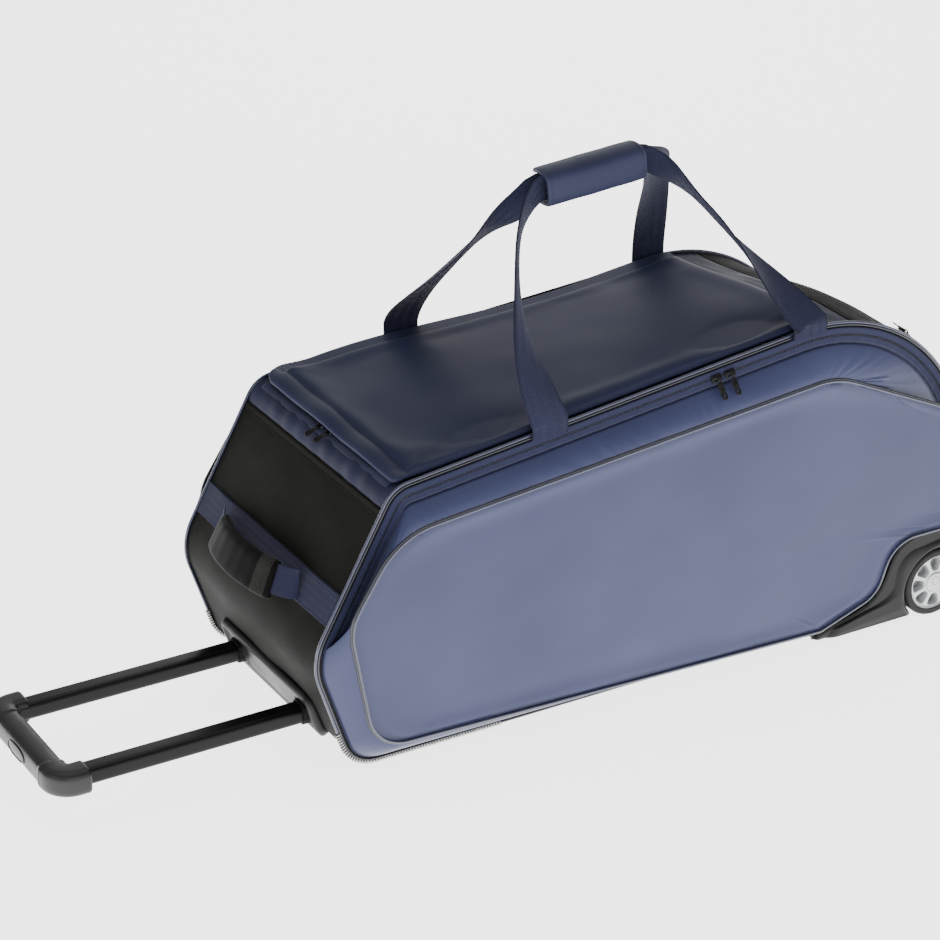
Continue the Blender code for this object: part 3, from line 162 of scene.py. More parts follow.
# Smooth wandering value in -1..1: a mean of sine waves in drawn directions and phases.
def wander(points, wavelength, waves=7):
    directions = rng.normal(size=(waves, points.shape[-1]))
    directions /= np.linalg.norm(directions, axis=1)[:, None]
    lengths = wavelength * rng.uniform(0.7, 1.5, waves)
    phases = rng.uniform(0, 2 * math.pi, waves)
    return np.sin(points @ (directions / lengths[:, None]).T * 2 * math.pi + phases).mean(-1)


# Grid of points [rows, columns, 3] as quads, each corner with its own distance along and across for the
# weave.
def gridPart(points, closeRows=False, closeColumns=False, along=None, across=None):
    n, m = points.shape[:2]
    rows, columns = np.arange(n if closeRows else n - 1), np.arange(m if closeColumns else m - 1)
    i, j = np.meshgrid(rows, columns, indexing="ij")
    i, j = i.ravel(), j.ravel()
    a, b = np.stack([i, i + 1, i + 1, i], 1), np.stack([j, j, j + 1, j + 1], 1)
    faces = (a % n) * m + b % m
    if along is None:
        middle = points[:, m // 2]
        along = np.concatenate([[0], np.cumsum(np.linalg.norm(np.diff(middle, axis=0), axis=1))])
    if across is None:
        middle = points[n // 2]
        across = np.concatenate([[0], np.cumsum(np.linalg.norm(np.diff(middle, axis=0), axis=1))])
    along = np.append(along, 2 * along[-1] - along[-2])
    across = np.append(across, 2 * across[-1] - across[-2])
    return {"points": points.reshape(-1, 3), "faces": [faces], "uv": [np.stack([along[a], across[b]], -1)]}


# Ring of a part closed by a fan to one middle point.
def fanPart(ring, middle):
    n = len(ring)
    k = np.arange(n)
    faces = np.stack([k, (k + 1) % n, np.full(n, n)], 1)
    return {"points": np.vstack([ring, middle]), "faces": [faces], "uv": [np.zeros((n, 3, 2))]}


# Parts put together, with the faces counted on from one to the next.
def joined(parts):
    points, faces, uv, start = [], [], [], 0
    for part in parts:
        points.append(part["points"])
        faces += [f + start for f in part["faces"]]
        uv += part["uv"]
        start += len(part["points"])
    return {"points": np.concatenate(points), "faces": faces, "uv": uv}


# Closed shell of an upper and a lower grid with a rim on each of its four sides.
def shellOf(top, bottom, along=None, across=None):
    upper = gridPart(top, along=along, across=across)
    lower = gridPart(bottom[:, ::-1], along=along, across=across)
    rims = [
        gridPart(np.stack([top[0], bottom[0]], 0)), gridPart(np.stack([bottom[-1], top[-1]], 0)),
        gridPart(np.stack([top[:, -1], bottom[:, -1]], 0)), gridPart(np.stack([bottom[:, 0], top[:, 0]], 0)),
    ]
    return joined([upper, lower, *rims])


# The part repeated at many places: each copy turned by its own three axes.
def scattered(part, places, axes):
    points = np.einsum("pk,nkc->npc", part["points"], axes) + places[:, None, :]
    count = len(part["points"])
    steps = np.arange(len(places))[:, None, None] * count
    faces = [(f[None] + steps).reshape(-1, f.shape[1]) for f in part["faces"]]
    uv = [np.tile(u, (len(places), 1, 1)) for u in part["uv"]]
    return {"points": points.reshape(-1, 3), "faces": faces, "uv": uv}


settling = {"most": 0.027, "x": (0.12, 0.46), "y": (-0.1, 0.165), "z": (0.19, 0.33), "fade": (0.43, 0.52)}


# The far top edge settles under the straps: a drop that grows along x and across y, and fades low down and
# high up.
def sagged(points):
    x, y, z = points.T
    share = ease(x, *settling["x"]) * ease(y, *settling["y"]) * ease(z, *settling["z"]) * (
        1 - ease(z, *settling["fade"])
    )
    return points - np.stack([0 * x, 0 * x, settling["most"] * share], 1)


# Blender object from a part. weld merges doubles and turns the faces of a closed shell outwards.
def makePiece(name, part, finish, body=None, weld=None, facing=None, smooth=40, attributes=None):
    mesh = bpy.data.meshes.new(name)
    points = sagged(part["points"]) + bagOrigin
    faces = [face for block in part["faces"] for face in block.tolist()]
    mesh.from_pydata(points.tolist(), [], faces)
    layer = mesh.uv_layers.new(name="weave")
    layer.data.foreach_set("uv", np.concatenate([u.reshape(-1) for u in part["uv"]]))
    for key, values in (attributes or {}).items():
        mesh.attributes.new(key, "FLOAT", "POINT").data.foreach_set(
            "value", values.ravel().astype(np.float32)
        )
    if weld is not None or facing is not None:
        bm = bmesh.new()
        bm.from_mesh(mesh)
        if weld is not None:
            bmesh.ops.remove_doubles(bm, verts=bm.verts, dist=weld)
            bmesh.ops.dissolve_degenerate(bm, edges=bm.edges, dist=1e-7)
            bmesh.ops.recalc_face_normals(bm, faces=bm.faces)
        if facing is not None:  # an open sheet faces this way on the whole
            total = sum((f.normal * f.calc_area() for f in bm.faces), Vector())
            if total.dot(Vector(facing)) < 0:
                bmesh.ops.reverse_faces(bm, faces=bm.faces)
        bm.to_mesh(mesh)
        bm.free()
    mesh.validate()
    mesh.shade_smooth()
    mesh.set_sharp_from_angle(angle=math.radians(smooth))
    made = bpy.data.objects.new(name, mesh)
    mesh.materials.append(materials[finish])
    bpy.context.scene.collection.objects.link(made)
    if body is not None:
        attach(made, body)
    return made


# The modifiers made part of the mesh.
def settled(piece):
    graph = bpy.context.evaluated_depsgraph_get()
    piece.data = bpy.data.meshes.new_from_object(
        piece.evaluated_get(graph), preserve_all_data_layers=True, depsgraph=graph
    )
    piece.modifiers.clear()
    return piece


# An open sheet given its thickness behind its face, as part of its mesh.
def thickened(piece, thickness, body=None):
    modifier = piece.modifiers.new("thickness", "SOLIDIFY")
    modifier.thickness = thickness
    modifier.offset = -1.0
    settled(piece)
    if body is not None:
        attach(piece, body)
    return piece


# Unit vectors along a path of points.
def headings(path, closed=False):
    if closed:
        ahead = np.roll(path, -1, 0) - np.roll(path, 1, 0)
    else:
        ahead = np.gradient(path, axis=0)
    return ahead / np.linalg.norm(ahead, axis=1)[:, None]


# Section points (across, up) carried along a path: place = path + across * wide + up * (ahead x wide).
def swept(path, wide, section, closedPath=False, caps=True, scale=None):
    ahead = headings(path, closedPath)
    wide = np.broadcast_to(np.asarray(wide, float), path.shape)
    wide = wide - ahead * (wide * ahead).sum(1)[:, None]
    wide = wide / np.linalg.norm(wide, axis=1)[:, None]
    up = np.cross(ahead, wide)
    section = np.broadcast_to(section, (len(path), *np.shape(section)[-2:]))
    if scale is not None:
        section = section * np.asarray(scale).reshape(len(path), 1, -1)
    grid = path[:, None] + section[..., :1] * wide[:, None] + section[..., 1:] * up[:, None]
    parts = [gridPart(grid, closeRows=closedPath, closeColumns=True)]
    if caps and not closedPath:
        parts += [fanPart(grid[0], grid[0].mean(0)), fanPart(grid[-1][::-1], grid[-1].mean(0))]
    return joined(parts)


# Circle: r cos a, r sin a.
def circleSection(radius, count=10):
    angle = np.arange(count) * 2 * math.pi / count
    return np.stack([np.cos(angle), np.sin(angle)], 1) * radius


# Round cord along a path.
def pipe(name, path, radius, count, finish, body=None, closed=False, wide=(0, 1, 0)):
    cord = swept(path, wide, circleSection(radius, count), closedPath=closed)
    return makePiece(name, cord, finish, body, weld=1e-6, smooth=80)


# Rounded rectangle: a superellipse |x/a|^p + |y/b|^p = 1.
def softSection(width, height, power=4.0, count=32):
    angle = np.arange(count) * 2 * math.pi / count
    c, s = np.cos(angle), np.sin(angle)
    return np.stack(
        [
            np.sign(c) * np.abs(c) ** (2 / power) * width / 2,
            np.sign(s) * np.abs(s) ** (2 / power) * height / 2
        ],
        1
    )


# Short rounded stitch: a six-sided bar with its ends drawn in and sunk.
def stitchShape(length, radius):
    x = np.array([-0.5, -0.36, 0.36, 0.5]) * length
    grow = np.array([0.35, 1.0, 1.0, 0.35])
    drop = np.array([-0.7, 0.0, 0.0, -0.7]) * radius
    ring = circleSection(radius, 6)
    points = np.stack(
        [
            np.repeat(x[:, None], 6, 1), ring[None, :, 0] * grow[:, None],
            ring[None, :, 1] * grow[:, None] + drop[:, None]
        ],
        -1
    )
    grid = gridPart(points, closeColumns=True)
    return joined(
        [grid, fanPart(points[0], points[0].mean(0)), fanPart(points[-1][::-1], points[-1].mean(0))]
    )


# Stitches set evenly along a line of points: x of each along the line, z along the surface's outward
# direction.
def stitchRow(path, outward, pitch=0.0034, length=0.0024, radius=0.00035):
    gaps = np.linalg.norm(np.diff(path, axis=0), axis=1)
    distance = np.concatenate([[0], np.cumsum(gaps)])
    count = max(2, int(distance[-1] / pitch))
    at = (np.arange(count) + 0.5) * distance[-1] / count
    places = np.stack([np.interp(at, distance, path[:, k]) for k in range(3)], 1)
    outward = np.broadcast_to(np.asarray(outward, float), path.shape)
    ups = np.stack([np.interp(at, distance, outward[:, k]) for k in range(3)], 1)
    forward = headings(places)
    ups = ups - forward * (ups * forward).sum(1)[:, None]
    ups /= np.linalg.norm(ups, axis=1)[:, None]
    axes = np.stack([forward, np.cross(ups, forward), ups], 1)
    return scattered(stitchShape(length, radius), places, axes)


# Shader node with its settings; an input is a value or another node's output.
def addNode(tree, kind, inputs=None, **settings):
    node = tree.nodes.new(kind)
    for key, value in settings.items():
        setattr(node, key, value)
    for key, value in (inputs or {}).items():
        if isinstance(value, bpy.types.NodeSocket):
            tree.links.new(value, node.inputs[key])
        else:
            node.inputs[key].default_value = value
    return node


# One operation on one or two values.
def mathNode(tree, operation, a, b=None, clamp=False):
    inputs = {0: a} if b is None else {0: a, 1: b}
    return addNode(tree, "ShaderNodeMath", inputs, operation=operation, use_clamp=clamp).outputs[0]


# a * (1 - share) + b * share.
def mixColour(tree, share, a, b, blend="MIX"):
    node = addNode(tree, "ShaderNodeMix", data_type="RGBA", blend_type=blend)
    for socket, value in ((node.inputs[0], share), (node.inputs[6], a), (node.inputs[7], b)):
        if isinstance(value, bpy.types.NodeSocket):
            tree.links.new(value, socket)
        else:
            socket.default_value = value if not isinstance(value, tuple) else (*value[:3], 1.0)
    return node.outputs[2]


# Weave height in 0..1 from two distances in metres: ribs, a plain weave of crossed threads, or a slanting
# twill.
def weaveHeight(tree, kind, period, useUv):
    coordinates = addNode(tree, "ShaderNodeTexCoord").outputs["UV" if useUv else "Object"]
    split = addNode(tree, "ShaderNodeSeparateXYZ", {0: coordinates})
    turn = 2 * math.pi / period
    along = mathNode(tree, "MULTIPLY", split.outputs[0], turn)
    across = mathNode(tree, "MULTIPLY", split.outputs[1], turn)
    if not useUv:
        height = mathNode(tree, "MULTIPLY", split.outputs[2], turn)
        across = mathNode(tree, "ADD", across, height)
    if kind == "rib":
        wave = mathNode(tree, "SINE", along)
    elif kind == "twill":  # herringbone: slanting ribs whose lean turns round in broad bands across
        zigzag = mathNode(tree, "PINGPONG", across, 12.0)
        wave = mathNode(tree, "SINE", mathNode(tree, "ADD", along, zigzag))
    else:
        wave = mathNode(tree, "MULTIPLY", mathNode(tree, "SINE", along), mathNode(tree, "SINE", across))
    return mathNode(tree, "MULTIPLY_ADD", wave, 0.5)


# Straight line that takes fromLow..fromHigh to low..high, held at its ends.
def addRange(tree, value, fromLow, fromHigh, low=0.0, high=1.0):
    node = addNode(
        tree,
        "ShaderNodeMapRange",
        {"Value": value, "From Min": fromLow, "From Max": fromHigh, "To Min": low, "To Max": high},
    )
    return node.outputs[0]


# Fractal noise at a place.
def noise(tree, place, scale, detail):
    return addNode(tree, "ShaderNodeTexNoise", {"Vector": place, "Scale": scale, "Detail": detail}).outputs[0]


# Painted shade darkens creases, seams and recesses, and wear with painted highlight pales raised edges; the
# broad mottling varies the roughness; height becomes bump.
def finishShader(made, look, shade, broad, height, spread, coatRoughness, depth):
    tree = made.node_tree
    shader = tree.nodes["Principled BSDF"]
    for attribute, share, colour in (("creaseShade", 0.9, "creaseShadeColour"), ("wearAndHighlight", 0.8, "wearAndHighlightColour")):
        amount = addNode(tree, "ShaderNodeAttribute", attribute_name=attribute).outputs["Fac"]
        shade = mixColour(tree, mathNode(tree, "MULTIPLY", amount, share, True), shade, look[colour])
    tree.links.new(shade, shader.inputs["Base Color"])
    rough = addRange(tree, broad, 0.3, 0.7, look["roughness"] - spread, look["roughness"] + spread)
    tree.links.new(rough, shader.inputs["Roughness"])
    shader.inputs["Specular IOR Level"].default_value = look.get("specular", 0.5)
    shader.inputs["Coat Weight"].default_value = look.get("coat", 0.0)
    shader.inputs["Coat Roughness"].default_value = look.get("coatRoughness", coatRoughness)
    distance = look.get("depth", depth)
    bump = addNode(tree, "ShaderNodeBump", {"Strength": look["bump"], "Distance": distance, "Height": height})
    tree.links.new(bump.outputs[0], shader.inputs["Normal"])
    return shader


# Cloth: base colour tinted by broad mottling, by the weave, and by the piece's painted crease shade and its
# pale raised edges (wear and painted highlight); weave and grain as bump.
def clothMaterial(name, look):
    made = bpy.data.materials.new(name)
    made.use_nodes = True
    tree = made.node_tree
    place = addNode(tree, "ShaderNodeTexCoord").outputs["Object"]
    broad = noise(tree, place, look["mottleScale"], 3.0)
    height = noise(tree, place, look["grainScale"], 2.0)
    shade = mixColour(tree, addRange(tree, broad, 0.32, 0.68), look["dark"], look["light"])
    if look.get("weave"):
        weave = mathNode(
            tree, "ADD", weaveHeight(tree, look["weave"], look["period"], look.get("uv", True)), 0.5
        )
        shade = mixColour(tree, mathNode(tree, "MULTIPLY", weave, look["weaveTint"]), shade, look["thread"])
        height = mathNode(tree, "ADD", mathNode(tree, "MULTIPLY", weave, look["weaveShare"]), height)
    shader = finishShader(made, look, shade, broad, height, spread=0.05, coatRoughness=0.3, depth=0.0004)
    shader.inputs["Sheen Weight"].default_value = look["sheen"]
    shader.inputs["Sheen Roughness"].default_value = 0.4
    return made


# Hard material: colour mottled by noise, a moulded or brushed grain as bump.
def hardMaterial(name, look):
    made = bpy.data.materials.new(name)
    made.use_nodes = True
    tree = made.node_tree
    place = addNode(tree, "ShaderNodeTexCoord").outputs["Object"]
    stretched = addNode(tree, "ShaderNodeMapping", {"Vector": place, "Scale": look.get("stretch", (1, 1, 1))})
    broad = noise(tree, place, look["mottleScale"], 4.0)
    grain = noise(tree, stretched.outputs[0], look["grainScale"], 2.0)
    shade = mixColour(tree, addRange(tree, broad, 0.35, 0.65), look["dark"], look["light"])
    shader = finishShader(made, look, shade, broad, grain, spread=0.08, coatRoughness=0.2, depth=0.0002)
    shader.inputs["Metallic"].default_value = look.get("metallic", 0.0)
    return made


# One finish. Colours: the two that the mottling runs between, then the painted shade of creases, then pale edges
# (wear and painted highlight). The rest only some finishes have: weave with its thread and period, sheen, coat,
# metal, or a grain stretched along x.
def look(dark, light, mottleScale, grainScale, creaseShadeColour, wearAndHighlightColour, roughness, bump, **more):
    return {
        "dark": dark, "light": light, "mottleScale": mottleScale, "grainScale": grainScale,
        "creaseShadeColour": creaseShadeColour, "wearAndHighlightColour": wearAndHighlightColour, "roughness": roughness, "bump": bump, **more,
    }


clothLooks = {
    "sidePanelCloth": look(  # pale navy satin coating over a fine weave
        (0.03, 0.036, 0.092), (0.043, 0.05, 0.115), 5.0, 900.0, (0.02, 0.022, 0.055), (0.1352, 0.1456, 0.208),
        0.42, 0.1, specular=0.26, sheen=0.062, coat=0.075, coatRoughness=0.45,
    ),
    "lidCloth": look(
        (0.015, 0.018, 0.048), (0.022, 0.026, 0.062), 6.0, 900.0, (0.008, 0.009, 0.02),
        (0.0546, 0.0588, 0.084), 0.54, 0.12, specular=0.12, sheen=0.034, coatRoughness=0.45,
    ),
    "wrapCloth": look(
        (0.02, 0.023, 0.056), (0.029, 0.033, 0.072), 6.0, 900.0, (0.008, 0.009, 0.02),
        (0.0546, 0.0588, 0.084), 0.5, 0.12, specular=0.16, sheen=0.04, coatRoughness=0.45,
    ),
    "headerCloth": look(
        (0.01, 0.0112, 0.031), (0.0155, 0.0172, 0.044), 14.0, 900.0, (0.006, 0.007, 0.018),
        (0.0504, 0.0504, 0.084), 0.55, 0.14, specular=0.12, sheen=0.05,
    ),
    "navyWebbing": look(
        (0.0048, 0.0056, 0.0185), (0.0084, 0.0097, 0.028), 30.0, 1400.0, (0.004, 0.004, 0.012),
        (0.044, 0.048, 0.092), 0.72, 0.55, thread=(0.025, 0.027, 0.058), weave='twill', period=0.0022,
        weaveTint=0.8, weaveShare=1.6, specular=0.1, sheen=0.07, depth=0.0006,
    ),
    "zipTapeCloth": look(
        (0.0075, 0.009, 0.0285), (0.012, 0.014, 0.04), 40.0, 1500.0, (0.003, 0.003, 0.01),
        (0.072, 0.0756, 0.1224), 0.66, 0.5, thread=(0.027, 0.03, 0.066), weave='rib', period=0.002,
        weaveTint=0.7, weaveShare=1.4, specular=0.1, sheen=0.07, depth=0.0005,
    ),
    "blackWoven": look(
        (0.0022, 0.0022, 0.0019), (0.0042, 0.0042, 0.0035), 9.0, 1300.0, (0.004, 0.004, 0.004),
        (0.0204, 0.0204, 0.0144), 0.66, 0.35, thread=(0.0075, 0.0076, 0.0062), weave='plain', period=0.0013,
        weaveTint=0.6, weaveShare=1.5, specular=0.05, sheen=0.046, depth=0.0004,
    ),
    "blackLining": look(
        (0.004, 0.004, 0.0044), (0.0072, 0.0072, 0.0076), 12.0, 1200.0, (0.003, 0.003, 0.003),
        (0.02, 0.02, 0.02), 0.75, 0.3, thread=(0.014, 0.014, 0.0148), weave='plain', period=0.0016,
        weaveTint=0.4, weaveShare=1.2, uv=False, specular=0.14, sheen=0.037,
    ),
    "padSleeve": look(
        (0.0012, 0.0012, 0.0012), (0.0022, 0.0022, 0.0022), 20.0, 1200.0, (0.002, 0.002, 0.002),
        (0.024, 0.024, 0.02), 0.6, 0.4, thread=(0.005, 0.005, 0.0047), weave='plain', period=0.0015,
        weaveTint=0.4, weaveShare=1.2, specular=0.05, sheen=0.075,
    ),
    "hookPatch": look(
        (0.006, 0.006, 0.0052), (0.024, 0.024, 0.02), 900.0, 700.0, (0.003, 0.003, 0.003),
        (0.044, 0.044, 0.036), 0.85, 0.9, specular=0.14, sheen=0.125, depth=0.0012,
    ),
    "stitchThread": look(
        (0.025, 0.027, 0.055), (0.0375, 0.04, 0.075), 200.0, 2500.0, (0.02, 0.02, 0.04), (0.1, 0.1, 0.15),
        0.55, 0.3, specular=0.14, sheen=0.075,
    ),
    "blackThread": look(
        (0.0056, 0.0056, 0.0052), (0.0112, 0.0112, 0.0104), 200.0, 2500.0, (0.01, 0.01, 0.01),
        (0.04, 0.04, 0.04), 0.6, 0.3, specular=0.14, sheen=0.05,
    ),
}
hardLooks = {
    "pipingVinyl": look(
        (0.02, 0.024, 0.052), (0.032, 0.037, 0.075), 18.0, 800.0, (0.02, 0.02, 0.05), (0.3, 0.31, 0.36), 0.24,
        0.05, coat=0.6,
    ),
    "darkPiping": look(
        (0.004, 0.0045, 0.011), (0.007, 0.008, 0.017), 18.0, 800.0, (0.002, 0.002, 0.005), (0.1, 0.1, 0.125),
        0.3, 0.05, coat=0.3,
    ),
    "mouldedBlack": look(
        (0.0045, 0.0047, 0.0045), (0.0075, 0.0078, 0.0075), 16.0, 1400.0, (0.004, 0.004, 0.004),
        (0.0384, 0.04, 0.0384), 0.42, 0.16, specular=0.22,
    ),
    "tubeBlack": look(
        (0.0022, 0.0022, 0.0022), (0.0036, 0.0036, 0.0036), 12.0, 500.0, (0.001, 0.001, 0.001),
        (0.06, 0.06, 0.06), 0.3, 0.06, stretch=(0.05, 1, 1), specular=0.16,
    ),
    "gripPlastic": look(
        (0.008, 0.008, 0.008), (0.011, 0.011, 0.011), 25.0, 1600.0, (0.004, 0.004, 0.004),
        (0.0504, 0.0504, 0.0504), 0.34, 0.12, specular=0.34,
    ),
    "buttonPlastic": look(
        (0.0048, 0.0048, 0.0048), (0.0078, 0.0078, 0.0078), 40.0, 900.0, (0.002, 0.002, 0.002),
        (0.072, 0.072, 0.072), 0.3, 0.05,
    ),
    "tyreRubber": look(
        (0.008, 0.008, 0.008), (0.0128, 0.0128, 0.0124), 60.0, 1500.0, (0.003, 0.003, 0.003),
        (0.036, 0.036, 0.034), 0.68, 0.3, specular=0.3,
    ),
    "hubSilver": look(
        (0.52, 0.53, 0.54), (0.66, 0.67, 0.68), 45.0, 2200.0, (0.03, 0.03, 0.032), (0.9, 0.9, 0.9), 0.36,
        0.12, metallic=0.35,
    ),
    "zipBlackMetal": look(
        (0.007, 0.007, 0.007), (0.0154, 0.0154, 0.0154), 150.0, 1500.0, (0.002, 0.002, 0.002),
        (0.28, 0.28, 0.28), 0.26, 0.1, metallic=0.6,
    ),
    "zipSteel": look(
        (0.3, 0.3, 0.29), (0.48, 0.48, 0.46), 150.0, 1500.0, (0.02, 0.02, 0.02), (0.8, 0.8, 0.8), 0.3, 0.1,
        metallic=0.9,
    ),
    "toothNylon": look(
        (0.002, 0.002, 0.004), (0.005, 0.005, 0.009), 150.0, 1500.0, (0.002, 0.002, 0.002),
        (0.05, 0.05, 0.05), 0.4, 0.05,
    ),
    "steelBright": look(
        (0.45, 0.45, 0.46), (0.58, 0.58, 0.59), 30.0, 900.0, (0.1, 0.1, 0.1), (0.8, 0.8, 0.8), 0.32, 0.08,
        stretch=(0.04, 1, 1), metallic=1.0,
    ),
}
materials = {name: clothMaterial(name, look) for name, look in clothLooks.items()}
materials.update({name: hardMaterial(name, look) for name, look in hardLooks.items()})
print("materials made:", len(materials))

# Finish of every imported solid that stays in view.
finishOf = {
    "navy_coated": "headerCloth", "navy_pocket": "sidePanelCloth", "navy_webbing": "navyWebbing",
    "black_fabric": "blackLining", "black_plastic": "mouldedBlack", "black_tube": "tubeBlack",
    "piping_white": "pipingVinyl", "zip_metal": "zipBlackMetal", "steel": "steelBright",
    "tyre_rubber": "tyreRubber", "hub_silver": "hubSilver",
}
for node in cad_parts.values():
    for place in node.material_slots:
        base = place.material.name.split(".")[0]
        place.material = materials[finishOf.get(base, "mouldedBlack")]
for name in ("near_side_wall", "far_side_wall", "near_guide_tube", "far_guide_tube"):
    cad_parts[name].material_slots[0].material = materials["blackLining"]

# Padding by cloth simulation.


# Pressure blows a held sheet outwards: points marked loose move, at most cap metres from where they lay.
def puffed(part, loose, pressure, cap, frames=20, shrink=-0.01, stiffness=14.0):
    mesh = bpy.data.meshes.new("padding")
    mesh.from_pydata(
        part["points"].tolist(), [], [face for block in part["faces"] for face in block.tolist()]
    )
    pad = bpy.data.objects.new("padding", mesh)
    bpy.context.scene.collection.objects.link(pad)
    held = pad.vertex_groups.new(name="held")
    held.add(np.flatnonzero(~loose).tolist(), 1.0, "REPLACE")
    cloth = pad.modifiers.new("cloth", "CLOTH")
    settings = cloth.settings
    settings.quality = 5
    settings.mass = 0.25
    settings.tension_stiffness = settings.compression_stiffness = stiffness
    settings.shear_stiffness = stiffness * 0.6
    settings.bending_stiffness = 0.8
    settings.tension_damping = settings.compression_damping = 8.0
    settings.air_damping = 4.0
    settings.vertex_group_mass = "held"
    settings.pin_stiffness = 1.0
    settings.shrink_min = shrink
    settings.use_pressure = True
    settings.uniform_pressure_force = pressure
    settings.effector_weights.gravity = 0.0
    cloth.collision_settings.use_collision = False
    cloth.point_cache.frame_start, cloth.point_cache.frame_end = 1, frames
    scene = bpy.context.scene
    for step in range(1, frames + 1):
        scene.frame_set(step)
    graph = bpy.context.evaluated_depsgraph_get()
    swollen = np.empty(len(part["points"]) * 3, np.float32)
    pad.evaluated_get(graph).data.vertices.foreach_get("co", swollen)
    scene.frame_set(1)
    bpy.data.objects.remove(pad, do_unlink=True)
    move = swollen.reshape(-1, 3).astype(float) - part["points"]
    size = np.linalg.norm(move, axis=1)
    move *= np.minimum(1.0, cap / np.maximum(size, 1e-9))[:, None]
    return move


# Rows and columns averaged with their neighbours a few times; the outer rows stay where they are.
def evened(values, times, around=False):
    for _ in range(times):
        if around:
            values = values * 0.5 + (np.roll(values, 1, 1) + np.roll(values, -1, 1)) * 0.25
        else:
            inner = values[:, 1:-1] * 0.5 + (values[:, :-2] + values[:, 2:]) * 0.25
            values = np.concatenate([values[:, :1], inner, values[:, -1:]], 1)
        inner = values[1:-1] * 0.5 + (values[:-2] + values[2:]) * 0.25
        values = np.concatenate([values[:1], inner, values[-1:]])
    return values


# Outlines of the side pocket.


# Corners of an open run of straight edges, each edge moved inwards by inset.
def insetCorners(corners, inset):
    moved = []
    for a, b, c in zip(corners, corners[1:], corners[2:]):
        into = np.array([b[0] - a[0], b[1] - a[1]])
        out = np.array([c[0] - b[0], c[1] - b[1]])
        into, out = into / np.linalg.norm(into), out / np.linalg.norm(out)
        share = np.array([into[1] + out[1], -into[0] - out[0]])
        share /= np.linalg.norm(share)
        reach = inset / (share @ np.array([into[1], -into[0]]))
        moved.append((b[0] + share[0] * reach, b[1] + share[1] * reach, max(b[2] - inset, 0.006)))
    return moved


# x of the straight line through a and b at height z.
def atHeight(a, b, z):
    return a[0] + (b[0] - a[0]) * (z - a[1]) / (b[1] - a[1])


pocketTail = {"z": 0.19, "out": 0.0012}  # a slight bend halfway down the tail edge


# The bag's profile moved in by inset, with a straight foot and a step round the wheel housing.
def pocketCorners(inset, bottom, overHousing, baseRadius):
    run = [(0.3, 0.0, 0.0), *bag["corners"][:5]]
    base, nose, shoulder, crown = insetCorners(run, inset)
    tail = insetCorners([bag["corners"][3], bag["corners"][4], (bag["corners"][4][0], 0.0, 0.0)], inset)[0]
    stepZ = housingTop + overHousing
    return [
        (atHeight(base, nose, bottom), bottom, baseRadius),
        nose,
        shoulder,
        crown,
        (atHeight(crown, tail, pocketTail["z"]) + pocketTail["out"], pocketTail["z"], 0.15),
        (atHeight(crown, tail, stepZ), stepZ, 0.012),
        (wheelX - 0.071 - overHousing, stepZ, 0.045),
        (wheelX - 0.093 - overHousing, 0.03 + overHousing, 0.04),
        (wheelX - 0.173 - overHousing, bottom, 0.02),
    ]


pocket = {
    "frontInset": 0.0405,  # front panel's edge, from the bag's outline
    "zipInset": 0.0212,  # gusset's edge beside the zip
    "lowInset": 0.0035,  # below the cross seam the gusset reaches the edge piping
    "wallY": 0.1655,
    "edgeY": 0.1868,  # front panel's edge
    "crown": 0.0075,  # padding's own thickness in the middle
    "press": 3.2,
    "swell": 0.007,  # most that the simulated padding may add
    "wrinkle": 0.0009,
    "arcSteps": 26,
    "edgeSteps": [26, 34, 110, 22, 22, 10, 10, 20, 92],
    "ringsIn": 30,
    "ringsGusset": 12,
}


# Pocket outline as points that match those of the other insets one by one.
def pocketRing(inset, bottom, overHousing, radius):
    return roundedOutline(
        pocketCorners(inset, bottom, overHousing, radius), pocket["arcSteps"], pocket["edgeSteps"]
    )


# Front panel's own corners: rounder than the bag's.
frontCorners = pocketCorners(pocket["frontInset"], 0.0075, 0.005, 0.045)
frontCorners[:5] = [
    (-0.003, 0.0265, 0.05), (-0.0315, 0.186, 0.06), (0.03, 0.2795, 0.09), (0.602, 0.3365, 0.1),
    (0.763, 0.262, 0.04),
]
frontCorners[5] = (0.8198 - (frontCorners[5][1] - 0.11) * 0.394, frontCorners[5][1], 0.012)
while len(roundedOutline(frontCorners, pocket["arcSteps"], pocket["edgeSteps"])) % 3:
    pocket["edgeSteps"][-1] += 1
frontRing = roundedOutline(frontCorners, pocket["arcSteps"], pocket["edgeSteps"])
zipRing = pocketRing(pocket["zipInset"], 0.0125, 0.0022, 0.04)
lowRing = pocketRing(pocket["lowInset"], 0.003, 0.0012, 0.036)
lowShare = 1 - ease(zipRing[:, 1], bag["fold"] - 0.002, bag["fold"] + 0.006)
rimRing = zipRing * (1 - lowShare[:, None]) + lowRing * lowShare[:, None]


# Periodic smooth upsampling of rows [rings, around, 3] by a whole factor: Catmull-Rom between neighbours.
def smoothAround(values, factor):
    before, here, after, last = (np.roll(values, k, 1) for k in (1, 0, -1, -2))
    out = np.empty((values.shape[0], values.shape[1] * factor, values.shape[2]))
    for k in range(factor):
        t = k / factor
        out[:, k::factor] = 0.5 * (
            2 * here + (after - before) * t + (2 * before - 5 * here + 4 * after - last) * t**2
            + (3 * here - before - 3 * after + last) * t**3
        )
    return out


